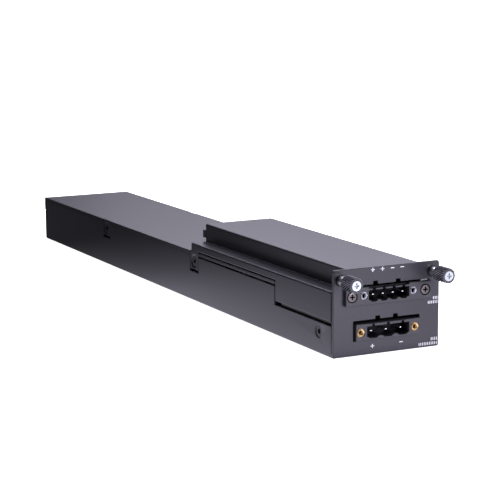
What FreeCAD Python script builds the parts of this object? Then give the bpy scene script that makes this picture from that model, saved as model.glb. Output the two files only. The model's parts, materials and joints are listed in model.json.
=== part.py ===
import FreeCAD, Part
import Sketcher
import math
import operator
import os
from types import SimpleNamespace

Vector = FreeCAD.Vector
Rotation = FreeCAD.Rotation

# Power supply module: a folded tray with two covers, two captive thumbscrews, two terminal
# headers in the front panel, a blind-mate connector at the rear, and the boards between them.
# Frame: x to the right seen from the front, y to the rear, z up. The origin is under the middle
# of the whole module. Sub-parts measure y from the front panel's face.

# Driving dimensions in millimetres: alias, value, meaning
DIMENSIONS = [
    ("case_width", 54.7, "width of tray, covers and panel"),
    ("case_length", 358.9, "panel face to the rear of the low cover"),
    ("panel_height", 39.4, "height of the front panel"),
    ("panel_corner", 1.0, "radius of the panel's top corners"),
    ("sheet", 1.5, "sheet thickness"),
    ("bend", 0.8, "outside radius of a fold"),
    ("bend_inside", 0.2, "inside radius of a fold"),
    ("seam", 0.3, "gap between folded edges"),
    ("panel_gap", 0.8, "gap between the panel and the front cover"),
    ("low_top", 25.4, "top of the low rear part"),
    ("shoulder_top", 29.7, "top of the shoulders"),
    ("raised_top", 38.8, "top of the raised middle"),
    ("raised_width", 38.2, "width of the raised middle"),
    ("cover_end", 145.4, "rear end of the front cover"),
    ("ledge_bottom", 25.9, "lower edge of the shoulder fold"),
    ("skirt_end", 54.5, "rear end of the deep skirt"),
    ("skirt_bottom", 16.0, "lower edge of the deep skirt"),
    ("skirt_wall", 14.3, "tray wall height under the skirt"),
    ("tab_width", 9.0, "width of a cover tab"),
    ("tab_bottom", 16.5, "lower edge of a cover tab"),
    ("tab_corner", 1.0, "radius of a tab's lower corners"),
    ("notch_bottom", 15.0, "lower edge of a tab's notch in the tray"),
    ("notch_room", 0.5, "side gap between tab and notch"),
    ("front_tab", 142.3, "middle of the front cover's tab"),
    ("rear_tab", 259.0, "middle of the low cover's tab"),
    ("tab_screw_up", 20.6, "height of the tab screws"),
    ("side_screw_back", 13.2, "side screws behind the panel face"),
    ("side_screw_up", 10.0, "height of the side screws"),
    ("tongue_front", 4.0, "front edge of the cover's inner tongue"),
    ("tongue_rear", 51.0, "rear edge of the inner tongue"),
    ("tongue_bottom", 5.0, "lower edge of the inner tongue"),
    ("tongue_joggle", 4.0, "height of the tongue's joggle"),
    ("slip", 0.1, "slip gap between overlapping sheets"),
    ("ear_length", 3.5, "ears behind the raised walls"),
    ("ear_bottom", 31.3, "lower edge of an ear"),
    ("ear_top", 35.3, "upper edge of an ear"),
    ("window_front", 60.0, "front edge of the low cover's window"),
    ("window_rear", 136.0, "rear edge of the low cover's window"),
    ("window_width", 35.0, "width of the low cover's window"),
    ("flap_bottom", 17.9, "lower edge of the rear flap"),
    ("flap_screw_out", 21.0, "flap screws from the middle"),
    ("flap_screw_up", 21.1, "height of the flap screws"),
    ("rear_step", 0.6, "tray's rear wall before the rear flap's face"),
    ("corner_notch", 3.0, "reach of the rear corner slot before the rear wall's face"),
    ("corner_notch_bottom", 11.2, "lower edge of the rear corner slot"),
    ("corner_notch_top", 14.9, "upper edge of the rear corner slot"),
    ("screw_radius", 1.5, "radius of the case and board screws"),
    ("flat_head", 2.75, "radius of a countersunk head"),
    ("head_sink", 0.4, "sink of a countersunk head below the sheet"),
    ("wall_dish", 3.2, "radius of the dish round a side or flap screw"),
    ("tab_dish", 3.75, "radius of the dish round a tab screw"),
    ("socket_corner", 1.3, "corner radius of a hexagon socket"),
    ("socket_depth", 1.0, "depth of a hexagon socket"),
    ("flat_length", 5.0, "length of a countersunk screw"),
    ("pan_head", 2.75, "radius of a pan head"),
    ("pan_height", 1.8, "height of a pan head"),
    ("drive_arm", 1.3, "reach of a cross recess"),
    ("drive_width", 0.65, "width of a cross recess"),
    ("drive_depth", 0.9, "depth of a cross recess"),
    ("fit", 0.05, "radial gap of a screw in its hole"),
    ("over", 1.0, "overrun of a cut beyond the material"),
    ("nut_plate", 2.0, "thickness of a nut plate"),
    ("nut_plate_width", 16.0, "width of a nut plate"),
    ("nut_plate_bottom", 13.0, "lower edge of a nut plate"),
    ("nut_plate_top", 23.0, "upper edge of a nut plate"),
    ("thumb_out", 23.6, "thumbscrew axis from the middle"),
    ("thumb_up", 34.7, "height of the thumbscrew axis"),
    ("ferrule_radius", 2.4, "outer radius of the ferrule"),
    ("ferrule_front", 7.0, "ferrule's front end before the panel"),
    ("ferrule_bore", 1.95, "bore for the spring"),
    ("ferrule_lip", 1.25, "bore of the lip that holds the screw"),
    ("ferrule_seat", 0.5, "spring seat behind the panel face"),
    ("ferrule_rim", 2.8, "radius of the rim behind the panel"),
    ("ferrule_rim_depth", 0.6, "thickness of that rim"),
    ("knob_back", 4.9, "knob's rear end before the panel"),
    ("knob_reach", 13.7, "knob's front end before the panel"),
    ("knob_radius", 3.5, "radius over the knurl"),
    ("knurl_depth", 0.45, "depth of the knurl"),
    ("knob_collar", 0.45, "length of the plain collars"),
    ("knob_chamfer", 3.3, "radius behind the knob's front chamfer"),
    ("knob_face", 2.95, "radius of the knob's front face"),
    ("knob_bore", 2.65, "bore that runs over the ferrule"),
    ("knob_floor", 11.5, "end of that bore"),
    ("thumb_head", 2.35, "radius of the screw head in the knob"),
    ("thumb_head_depth", 1.3, "thickness of that head"),
    ("thumb_shank", 1.05, "radius of the relieved shank"),
    ("thread_start", 2.7, "start of the thread behind the panel face"),
    ("thread_length", 4.0, "length of the thread"),
    ("thread_point", 0.4, "chamfer at the thread's ends"),
    ("coil_radius", 1.5, "mean radius of the spring"),
    ("wire_radius", 0.22, "radius of the spring wire"),
    ("upper_pitch", 5.08, "pole pitch of the upper header"),
    ("upper_flange_half", 22.0, "half width of the upper flange"),
    ("upper_flange_bottom", 23.1, "lower edge of the upper flange"),
    ("upper_flange_top", 31.1, "upper edge of the upper flange"),
    ("upper_flange_front", 2.0, "flange face before the panel face"),
    ("upper_body_half", 15.4, "half width behind the upper flange"),
    ("upper_body_top", 30.7, "top of the body behind the flange"),
    ("upper_cavity_half", 10.4, "half width of the upper socket"),
    ("upper_cavity_top", 29.5, "top of the upper socket"),
    ("upper_peak", 25.1, "socket floor between the poles"),
    ("upper_lobe", 24.3, "socket floor under a pole"),
    ("upper_pin_up", 27.3, "height of the upper pins"),
    ("upper_pin_tip", -0.8, "upper pin tips behind the panel face"),
    ("upper_insert_out", 12.7, "upper inserts from the middle"),
    ("upper_insert_radius", 1.65, "outer radius of an upper insert"),
    ("upper_screw_out", 18.85, "flange screws from the middle"),
    ("upper_screw_up", 27.2, "height of the flange screws"),
    ("upper_screw_radius", 1.25, "radius of a flange screw"),
    ("upper_screw_head", 2.2, "head radius of a flange screw"),
    ("upper_screw_sink", 1.1, "depth of the head's counterbore"),
    ("upper_screw_well", 2.55, "radius of the head's counterbore"),
    ("upper_gap", 0.4, "open gap above the upper flange"),
    ("upper_key_out", 5.85, "upper key notches from the middle"),
    ("upper_key_top", 33.0, "top of the upper key notches"),
    ("lower_pitch", 7.62, "pole pitch of the lower header"),
    ("lower_half", 16.5, "half width of the lower header"),
    ("lower_bottom", 6.95, "underside of the lower header"),
    ("lower_top", 14.55, "top of the lower header"),
    ("lower_front", 1.5, "lower header's face before the panel face"),
    ("lower_cavity_half", 10.9, "half width of the lower socket"),
    ("lower_cavity_top", 13.15, "top of the lower socket"),
    ("lower_peak", 8.65, "socket floor between the poles"),
    ("lower_lobe", 7.75, "socket floor under a pole"),
    ("lower_pin_up", 10.65, "height of the lower pins"),
    ("lower_pin_tip", 0.6, "lower pin tips behind the panel face"),
    ("lower_insert_out", 14.0, "lower inserts from the middle"),
    ("lower_insert_radius", 1.9, "outer radius of a lower insert"),
    ("lower_key_out", 4.6, "lower key notches from the middle"),
    ("lower_key_top", 17.25, "top of the lower key notches"),
    ("lower_cut_half", 17.1, "half width of the lower cut-out"),
    ("lower_cut_top", 15.75, "top of the lower cut-out"),
    ("key_half", 1.15, "half width of a key notch"),
    ("coding_half", 0.65, "half width of a socket's coding slot"),
    ("slot_floor", 0.4, "wall left above a socket's coding slots"),
    ("socket_back", 6.5, "end of the sockets behind the panel face"),
    ("header_back", 9.0, "rear of the headers"),
    ("insert_length", 6.0, "length of a threaded insert"),
    ("insert_bore", 1.05, "radius of an insert's thread"),
    ("insert_neck", 0.2, "groove round an insert's mouth"),
    ("insert_neck_depth", 0.6, "depth of that groove"),
    ("pin_side", 1.0, "side of a header pin"),
    ("pin_drop", 12.0, "header pin tails behind the panel face"),
    ("board_width", 46.0, "width of the boards"),
    ("board_sheet", 1.6, "board thickness"),
    ("board_top", 6.95, "top of the main board"),
    ("board_front", 3.0, "front edge of the boards"),
    ("board_rear", 346.0, "rear edge of the main board"),
    ("post_floor", 1.0, "board screw ends above the tray's floor"),
    ("post_out", 20.0, "board posts from the middle"),
    ("post_corner", 2.9, "corner radius of a hexagonal post"),
    ("film_gauge", 0.4, "thickness of the insulating sheet"),
    ("film_margin", 1.0, "gap between the film and the tray walls"),
    ("upper_board_top", 23.4, "top of the auxiliary board"),
    ("upper_board_rear", 51.0, "rear edge of the auxiliary board"),
    ("upper_post_back", 46.0, "posts of the auxiliary board"),
    ("link_back", 38.0, "board link behind the panel face"),
    ("link_pitch", 2.54, "pitch of the board link"),
    ("link_depth", 2.5, "depth of the link's housing"),
    ("link_pin", 0.64, "side of a link pin"),
    ("fuse_out", -12.0, "fuse from the middle"),
    ("fuse_front", 17.0, "front end of the fuse"),
    ("fuse_length", 20.0, "length of the fuse"),
    ("fuse_radius", 2.6, "radius of the fuse"),
    ("fuse_up", 11.45, "height of the fuse's axis"),
    ("clip_gauge", 0.5, "sheet of a fuse clip"),
    ("clip_width", 5.0, "width of a fuse clip"),
    ("clip_top", 13.15, "top of a fuse clip"),
    ("winding", 0.9, "thickness of a choke winding"),
    ("input_choke_out", 8.0, "input choke from the middle"),
    ("input_choke_back", 25.0, "input choke behind the panel face"),
    ("input_core_in", 4.5, "inner radius of the input choke's core"),
    ("input_core_out", 8.5, "outer radius of the input choke's core"),
    ("input_core_height", 8.0, "height of the input choke's core"),
    ("output_choke_out", -8.0, "output choke from the middle"),
    ("output_choke_back", 276.0, "output choke behind the panel face"),
    ("output_core_in", 6.0, "inner radius of the output choke's core"),
    ("output_core_out", 11.0, "outer radius of the output choke's core"),
    ("output_core_height", 9.0, "height of the output choke's core"),
    ("bulk_radius", 8.0, "radius of a bulk capacitor"),
    ("bulk_height", 28.0, "height of a bulk capacitor"),
    ("bulk_out", 8.8, "bulk capacitors from the middle"),
    ("output_radius", 4.8, "radius of an output capacitor"),
    ("output_height", 14.0, "height of an output capacitor"),
    ("output_back", 308.0, "output capacitors behind the panel face"),
    ("box_out", 8.0, "film capacitors from the middle"),
    ("box_back", 26.0, "film capacitors behind the panel face"),
    ("box_width", 13.0, "width of a film capacitor"),
    ("box_depth", 6.0, "depth of a film capacitor"),
    ("box_height", 10.0, "height of a film capacitor"),
    ("chip_height", 2.0, "height of a controller chip"),
    ("core_middle", 170.0, "transformer behind the panel face"),
    ("core_half_width", 17.0, "half width of the transformer core"),
    ("core_half_length", 14.0, "length of a core half"),
    ("core_back", 5.0, "back of a core half"),
    ("core_leg", 5.0, "outer leg and half centre leg"),
    ("core_bottom", 8.95, "underside of the core"),
    ("core_height", 12.0, "height of the core"),
    ("coil_margin", 0.15, "gap between winding and core"),
    ("coil_top", 2.0, "winding above the core"),
    ("sink_front", 192.0, "front end of the heat sink"),
    ("sink_length", 54.0, "length of the heat sink"),
    ("sink_face", 14.0, "transistor face of the heat sink"),
    ("sink_wall", 2.5, "wall of the heat sink"),
    ("sink_tip", 22.0, "tips of the fins"),
    ("sink_height", 16.0, "height of the heat sink"),
    ("fin", 1.4, "thickness of a fin"),
    ("transistor_pitch", 13.0, "pitch of the transistors"),
    ("transistor_width", 10.0, "width of a transistor"),
    ("transistor_depth", 4.5, "depth of a transistor's body"),
    ("transistor_tab", 1.3, "thickness of a transistor's tab"),
    ("transistor_bottom", 8.95, "underside of a transistor's body"),
    ("transistor_shoulder", 16.95, "top of a transistor's body"),
    ("transistor_top", 22.35, "top of a transistor's tab"),
    ("transistor_hole_up", 19.65, "height of a tab's hole"),
    ("lead", 0.8, "side of a transistor lead"),
    ("lead_pitch", 2.54, "pitch of the leads"),
    ("lead_root", 1.0, "depth of a lead in the transistor's body"),
    ("transistor_head", 2.5, "head radius of a transistor screw"),
    ("pad_gauge", 0.3, "thickness of an insulating pad"),
    ("rear_reach", 2.0, "rear connector behind the low cover"),
    ("rear_half", 19.0, "half width of the rear connector"),
    ("rear_front", 338.0, "front of the rear connector"),
    ("rear_height", 10.0, "height of the rear connector"),
    ("rear_room", 0.4, "gap round the rear connector"),
    ("contact_pitch", 4.0, "pitch of the rear contacts"),
    ("contact_gauge", 0.8, "thickness of a rear contact"),
    ("contact_height", 5.4, "height of a rear contact"),
    ("slot_width", 1.8, "width of a contact slot"),
    ("slot_height", 7.4, "height of a contact slot"),
    ("slot_depth", 9.0, "depth of a contact slot"),
    ("guide_out", 17.2, "guide bores from the middle"),
    ("guide_radius", 1.1, "radius of a guide bore"),
]

# Counts and angles
KNURL_RIDGES = 20
KNURL_ANGLE = 30.0
KNURL_SECTIONS = 5
SPRING_TURNS = 5
SPRING_STEPS = 12
WIRE_SIDES = 6
UPPER_POLES = 4
LOWER_POLES = 3
LINK_PINS = 6
TRANSISTORS = 4
FINS = 4
REAR_CONTACTS = 8
LOBE_TOP = 0.38
LOBE_FLOOR = 0.22
PIN_TAPER = 0.4
POST_ROWS = (17.0, 122.0, 252.0, 330.0)
BULK_ROWS = (80.0, 104.0)
OUTPUT_PLACES = (-15.0, -5.0, 5.0, 15.0)

# Start angles and arc of each choke's windings, in degrees
INPUT_COILS = (20, 200)
INPUT_ARC = 140
OUTPUT_COILS = (30,)
OUTPUT_ARC = 300

# Controller chips: place across, place behind the panel face, width and depth
CHIPS = ((-12.0, 200.0, 10.0, 10.0), (-12.0, 222.0, 8.0, 12.0), (-8.0, 240.0, 6.0, 6.0))
SIDES = {"left": -1, "right": 1}

doc = FreeCAD.newDocument("PowerSupplyModule")
nodes = []


# Sizes that stay bound to the sheet
OPERATIONS = {"+": operator.add, "-": operator.sub, "*": operator.mul, "/": operator.truediv}


class Size:
    """A length with its number in millimetres and the sheet expression that gives it."""

    def __init__(self, number, text):
        self.number = number
        self.text = text

    def __add__(self, other):
        return join(self, "+", other)

    def __radd__(self, other):
        return join(other, "+", self)

    def __sub__(self, other):
        return join(self, "-", other)

    def __rsub__(self, other):
        return join(other, "-", self)

    def __mul__(self, other):
        return join(self, "*", other)

    def __rmul__(self, other):
        return join(other, "*", self)

    def __truediv__(self, other):
        return join(self, "/", other)

    def __neg__(self):
        return join(-1, "*", self)


def as_size(value):
    """A plain number as a Size, and a Size as it is."""
    return value if isinstance(value, Size) else Size(float(value), repr(float(value)))


def join(first, sign, second):
    """The Size that two sizes or numbers give under one operation."""
    first = as_size(first)
    second = as_size(second)
    number = OPERATIONS[sign](first.number, second.number)
    return Size(number, f"({first.text} {sign} {second.text})")


def make_sheet():
    """The spreadsheet of driving dimensions, and a namespace of their Sizes."""
    sheet = doc.addObject("Spreadsheet::Sheet", "Dimensions")
    sizes = SimpleNamespace()
    for row, (alias, value, meaning) in enumerate(DIMENSIONS, start=1):
        sheet.set(f"A{row}", meaning)
        sheet.set(f"B{row}", str(value))
        sheet.setAlias(f"B{row}", alias)
        setattr(sizes, alias, Size(value, f"Dimensions.{alias}"))
    doc.recompute()
    return sizes


d = make_sheet()
half = d.case_width / 2
inner = half - d.sheet
wall_top = d.low_top - d.sheet
tray_end = d.case_length - d.rear_step
flap_seat = d.case_length - d.sheet
module_length = d.knob_reach + d.case_length + d.rear_reach
panel_face = d.knob_reach - module_length / 2
post_places = [(side * d.post_out, row) for row in POST_ROWS for side in SIDES.values()]
upper_post_places = [(side * d.post_out, d.upper_post_back) for side in SIDES.values()]
link_places = [((i - (LINK_PINS - 1) / 2) * d.link_pitch, d.link_back) for i in range(LINK_PINS)]
contact_places = [(i - (REAR_CONTACTS - 1) / 2) * d.contact_pitch for i in range(REAR_CONTACTS)]
transistor_places = [
    d.sink_front + d.sink_length / 2 + (i - (TRANSISTORS - 1) / 2) * d.transistor_pitch
    for i in range(TRANSISTORS)
]


def pole_places(count, pitch):
    """Places across the panel of a header's poles."""
    return [(i - (count - 1) / 2) * pitch for i in range(count)]


# Bodies, sketches and features
def bind(item, sizes):
    """Binds properties of an object to sheet expressions."""
    for path, size in sizes.items():
        item.setExpression(path, as_size(size).text)


def keep(item):
    """Marks an object as a sub-part that is written to its own file."""
    nodes.append(item)
    return item


def body(label, x=0, y=0, z=0, turn=None):
    """An empty body whose local y = 0 lies on the front panel's face."""
    item = doc.addObject("PartDesign::Body", label)
    item.Label = label
    if turn is not None:
        item.Placement = FreeCAD.Placement(Vector(), turn)
    bind(item, {"Placement.Base.x": x, "Placement.Base.y": panel_face + y, "Placement.Base.z": z})
    return item


def group(label, items):
    """Separate like pieces as one sub-part."""
    item = doc.addObject("Part::Compound", label)
    item.Label = label
    item.Links = items
    return item


def sketch(owner, role, name, lift):
    """An empty sketch on one of the body's origin planes, moved along its normal."""
    item = owner.newObject("Sketcher::SketchObject", name)
    planes = [plane for plane in owner.Origin.OriginFeatures if plane.Role == role]
    item.AttachmentSupport = [(planes[0], "")]
    item.MapMode = "FlatFace"
    bind(item, {"AttachmentOffset.Base.z": lift})
    return item


def across(owner, name, y=0):
    """A sketch in x and z, at a depth behind the panel's face."""
    return sketch(owner, "XZ_Plane", name, -1 * as_size(y))


def along(owner, name, x=0):
    """A sketch in y and z, at a place across the module."""
    return sketch(owner, "YZ_Plane", name, x)


def level(owner, name, z=0):
    """A sketch in x and y, at a height."""
    return sketch(owner, "XY_Plane", name, z)


def spot(point):
    """A sketch point as a vector of plain numbers."""
    return Vector(as_size(point[0]).number, as_size(point[1]).number, 0)


def hold(item, kind, geometry, end, size):
    """Holds a point of a sketch at a bound distance from the sketch's origin."""
    size = as_size(size)
    index = item.addConstraint(Sketcher.Constraint(kind, -1, 1, geometry, end, size.number))
    item.setExpression(f"Constraints[{index}]", size.text)


def outline(item, points):
    """A closed outline of straight lines with every corner held."""
    first = item.GeometryCount
    count = len(points)
    lines = [Part.LineSegment(spot(points[i]), spot(points[(i + 1) % count])) for i in range(count)]
    item.addGeometry(lines, False)
    ties = [
        Sketcher.Constraint("Coincident", first + i, 2, first + (i + 1) % count, 1)
        for i in range(count)
    ]
    item.addConstraint(ties)
    for i, (u, v) in enumerate(points):
        hold(item, "DistanceX", first + i, 1, u)
        hold(item, "DistanceY", first + i, 1, v)


def rectangle(item, u0, v0, u1, v1):
    """A closed rectangle between two corners."""
    outline(item, [(u0, v0), (u1, v0), (u1, v1), (u0, v1)])


def toward(corner, other, radius):
    """The point on the level or upright line from one corner to another where its rounding starts."""
    gaps = [as_size(other[i]).number - as_size(corner[i]).number for i in (0, 1)]
    i = 0 if abs(gaps[0]) > abs(gaps[1]) else 1
    point = list(corner[:2])
    point[i] = point[i] + math.copysign(1, gaps[i]) * radius
    return tuple(point)


def rounded_outline(item, corners):
    """A closed outline of level and upright lines. Each corner has its radius, or 0 where it is sharp."""
    count = len(corners)
    first = item.GeometryCount
    entries = [toward(c, corners[i - 1], c[2]) for i, c in enumerate(corners)]
    exits = [toward(c, corners[(i + 1) % count], c[2]) for i, c in enumerate(corners)]
    lines = [Part.LineSegment(spot(exits[i]), spot(entries[(i + 1) % count])) for i in range(count)]
    item.addGeometry(lines, False)
    for i, (u, v, radius) in enumerate(corners):
        line_in = first + (i - 1) % count
        line_out = first + i
        hold(item, "DistanceX", line_out, 1, exits[i][0])
        hold(item, "DistanceY", line_out, 1, exits[i][1])
        if as_size(radius).number == 0:
            item.addConstraint(Sketcher.Constraint("Coincident", line_in, 2, line_out, 1))
            continue
        hold(item, "DistanceX", line_in, 2, entries[i][0])
        hold(item, "DistanceY", line_in, 2, entries[i][1])
        centre = (entries[i][0] + exits[i][0] - u, entries[i][1] + exits[i][1] - v)
        start = spot(entries[i]) - spot(centre)
        end = spot(exits[i]) - spot(centre)
        turns_left = start.cross(end).z > 0
        low, high = (start, end) if turns_left else (end, start)
        ring = Part.Circle(spot(centre), Vector(0, 0, 1), as_size(radius).number)
        arc = Part.ArcOfCircle(ring, math.atan2(low.y, low.x), math.atan2(high.y, high.x))
        index = item.addGeometry(arc, False)
        into, out = (1, 2) if turns_left else (2, 1)
        item.addConstraint(Sketcher.Constraint("Coincident", line_in, 2, index, into))
        item.addConstraint(Sketcher.Constraint("Coincident", line_out, 1, index, out))
        hold(item, "DistanceX", index, 3, centre[0])


def fold_cut(item, u, v, way_u, way_v):
    """The waste outside a fold whose sharp corner lies at a point, with the sheet on its given sides."""
    far = d.bend + d.over
    rounded_outline(item, [
        (u - way_u * d.over, v - way_v * d.over, 0), (u + way_u * far, v - way_v * d.over, 0),
        (u + way_u * far, v, 0), (u, v, d.bend),
        (u, v + way_v * far, 0), (u - way_u * d.over, v + way_v * far, 0),
    ])


def circle(item, u, v, radius):
    """A circle with its centre and radius held."""
    radius = as_size(radius)
    index = item.addGeometry(Part.Circle(spot((u, v)), Vector(0, 0, 1), radius.number), False)
    hold(item, "DistanceX", index, 3, u)
    hold(item, "DistanceY", index, 3, v)
    constraint = item.addConstraint(Sketcher.Constraint("Radius", index, radius.number))
    item.setExpression(f"Constraints[{constraint}]", radius.text)


def hexagon(item, u, v, corner):
    """A regular hexagon about a centre."""
    angles = [math.radians(60 * i) for i in range(6)]
    outline(item, [(u + corner * math.cos(a), v + corner * math.sin(a)) for a in angles])


def cross(item, u, v, arm, width):
    """A cross recess about a centre."""
    w = width / 2
    corners = [
        (arm, -w), (arm, w), (w, w), (w, arm), (-w, arm), (-w, w),
        (-arm, w), (-arm, -w), (-w, -w), (-w, -arm), (w, -arm), (w, -w),
    ]
    outline(item, [(u + x, v + y) for x, y in corners])


def points_back(item):
    """Whether a sketch's normal runs against the axis that it is named for."""
    return item.AttachmentSupport[0][0].Role == "XZ_Plane"


def pad(owner, item, length, direction=1):
    """Adds material from a sketch along the positive or negative axis across it."""
    feature = owner.newObject("PartDesign::Pad", item.Name + "_pad")
    feature.Profile = item
    bind(feature, {"Length": length})
    feature.Reversed = (direction > 0) == points_back(item)
    return feature


def pocket(owner, item, length, direction=1):
    """Cuts material from a sketch along the positive or negative axis across it."""
    feature = owner.newObject("PartDesign::Pocket", item.Name + "_pocket")
    feature.Profile = item
    bind(feature, {"Length": length})
    feature.Reversed = (direction > 0) != points_back(item)
    return feature


def turned(owner, name, points, angle=360):
    """Material turned about the local z axis from a profile of radius and height."""
    profile = sketch(owner, "XZ_Plane", name, 0)
    outline(profile, points)
    return spin(owner, profile, angle)


def spin(owner, profile, angle=360):
    """Revolves a sketch about its own vertical axis."""
    feature = owner.newObject("PartDesign::Revolution", profile.Name + "_turned")
    feature.Profile = profile
    feature.ReferenceAxis = (profile, ["V_Axis"])
    feature.Angle = angle
    return feature


def round_edges(owner, radius, axis, places):
    """Rounds the straight edges of a body along one axis at the given places beside it."""
    doc.recompute()
    base = owner.Tip
    kept = [i for i in range(3) if i != axis]
    names = []
    for number, edge in enumerate(base.Shape.Edges, start=1):
        ends = [vertex.Point for vertex in edge.Vertexes]
        if len(ends) != 2 or any(abs(ends[0][i] - ends[1][i]) > 1e-6 for i in kept):
            continue
        for place in places:
            gaps = [abs(ends[0][i] - as_size(p).number) for i, p in zip(kept, place)]
            if max(gaps) < 1e-4:
                names.append(f"Edge{number}")
    if not names:
        raise RuntimeError(f"no edges to round on {owner.Label}")
    feature = owner.newObject("PartDesign::Fillet", owner.Name + "_round")
    feature.Base = (base, names)
    bind(feature, {"Radius": radius})
    return feature


def countersink(owner, place, turn, dish):
    """A countersunk hole through one sheet, with a dish round a head that sits below the face."""
    axis = turn.multVec(Vector(0, 0, 1))
    head = d.flat_head + d.fit
    hole = d.screw_radius + d.fit
    steps = ((0, d.head_sink, dish, head), (d.head_sink, d.sheet - d.head_sink, head, hole))
    for depth, height, wide, narrow in steps:
        x, y, z = [size + round(way) * depth for size, way in zip(place, axis)]
        feature = owner.newObject("PartDesign::SubtractiveCone", owner.Name + "_countersink")
        feature.Placement = FreeCAD.Placement(Vector(), turn)
        bind(feature, {
            "Radius1": wide,
            "Radius2": narrow,
            "Height": height,
            "Placement.Base.x": x,
            "Placement.Base.y": y,
            "Placement.Base.z": z,
        })


def inward(side):
    """Turns local z to point into the case from its left or right wall."""
    return Rotation(Vector(0, 1, 0), -90 * side)


# Turns local z to point to the front, out of the panel or in from the rear
TO_FRONT = Rotation(Vector(1, 0, 0), 90)


# Case
def keyed_opening(item, right_side, key_out, key_top):
    """A panel cut-out, its right side given from bottom to top, with two notches for a plug's keys."""
    top = right_side[-1][1]
    points = list(right_side)
    for middle in (key_out, -key_out):
        right = middle + d.key_half
        left = middle - d.key_half
        points += [(right, top), (right, key_top), (left, key_top), (left, top)]
    points += [(-x, z) for x, z in reversed(right_side)]
    outline(item, points)


def base_tray():
    """Folded tray: floor, side walls, front panel and rear wall in one sheet."""
    tray = keep(body("base_tray"))
    section = across(tray, "tray_section")
    rounded_outline(section, [
        (-half, 0, d.bend), (half, 0, d.bend), (half, wall_top, 0), (inner, wall_top, 0),
        (inner, d.sheet, d.bend_inside), (-inner, d.sheet, d.bend_inside), (-inner, wall_top, 0),
        (-half, wall_top, 0),
    ])
    pad(tray, section, tray_end)

    panel = across(tray, "front_panel")
    rounded_outline(panel, [
        (-half, 0, d.bend), (half, 0, d.bend),
        (half, d.panel_height, d.panel_corner), (-half, d.panel_height, d.panel_corner),
    ])
    width = d.upper_body_half + d.slip
    step = d.upper_body_top + d.slip
    keyed_opening(panel, [
        (width, d.upper_board_top - d.slip), (width, step), (d.upper_flange_half, step),
        (d.upper_flange_half, d.upper_flange_top + d.upper_gap),
    ], d.upper_key_out, d.upper_key_top)
    keyed_opening(panel, [
        (d.lower_cut_half, d.lower_bottom - d.slip), (d.lower_cut_half, d.lower_cut_top),
    ], d.lower_key_out, d.lower_key_top)
    for side in SIDES.values():
        circle(panel, side * d.thumb_out, d.thumb_up, d.ferrule_radius)
        circle(panel, side * d.upper_screw_out, d.upper_screw_up, d.upper_screw_radius + d.fit)
    pad(tray, panel, d.sheet)

    slit = d.sheet + d.notch_room
    over = wall_top + d.over
    step_top = d.flap_bottom - d.seam
    joggle = step_top - d.sheet
    low_edge = tray_end - d.sheet - d.seam
    high_edge = flap_seat - d.sheet - d.seam
    cuts = along(tray, "wall_cuts", -half - d.over)
    outline(cuts, [
        (d.sheet, slit), (d.sheet + d.seam, slit), (d.sheet + d.seam, d.skirt_wall),
        (d.skirt_end + d.seam, d.skirt_wall), (d.skirt_end + d.seam, over), (d.sheet, over),
    ])
    reach = d.tab_width / 2 + d.notch_room
    for middle in (d.front_tab, d.rear_tab):
        rectangle(cuts, middle - reach, d.notch_bottom, middle + reach, over)
    outline(cuts, [
        (low_edge, slit), (tray_end + d.over, slit), (tray_end + d.over, over),
        (high_edge, over), (high_edge, joggle), (low_edge, joggle),
    ])
    pocket(tray, cuts, d.case_width + 2 * d.over)

    rear = across(tray, "rear_wall", tray_end)
    rounded_outline(rear, [
        (-half, 0, d.bend), (half, 0, d.bend), (half, step_top, 0), (-half, step_top, 0),
    ])
    pad(tray, rear, d.sheet, -1)
    seat = across(tray, "rear_flap_seat", flap_seat)
    rectangle(seat, -half, joggle, half, wall_top)
    for side in SIDES.values():
        circle(seat, side * d.flap_screw_out, d.flap_screw_up, d.screw_radius + d.fit)
    pad(tray, seat, d.sheet, -1)
    mouth = across(tray, "rear_opening", tray_end)
    rectangle(mouth, -d.rear_half - d.rear_room, d.board_top - d.rear_room,
              d.rear_half + d.rear_room, d.board_top + d.rear_height + d.rear_room)
    pocket(tray, mouth, 2 * d.sheet, -1)

    folds = along(tray, "end_folds", -half - d.over)
    fold_cut(folds, 0, 0, 1, 1)
    fold_cut(folds, tray_end, 0, -1, 1)
    pocket(tray, folds, d.case_width + 2 * d.over)

    for name, side in SIDES.items():
        notch = along(tray, f"{name}_corner_notch", side * half)
        rectangle(notch, tray_end - d.corner_notch, d.corner_notch_bottom,
                  tray_end - d.sheet, d.corner_notch_top)
        pocket(tray, notch, d.sheet, -side)
        countersink(tray, (side * half, d.side_screw_back, d.side_screw_up), inward(side), d.wall_dish)
    return tray


def tab_outline(item, middle, top):
    """A cover tab that hangs from a height, with rounded lower corners."""
    front = middle - d.tab_width / 2
    rear = middle + d.tab_width / 2
    rounded_outline(item, [
        (front, d.tab_bottom, d.tab_corner), (rear, d.tab_bottom, d.tab_corner),
        (rear, top, 0), (front, top, 0),
    ])


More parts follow.
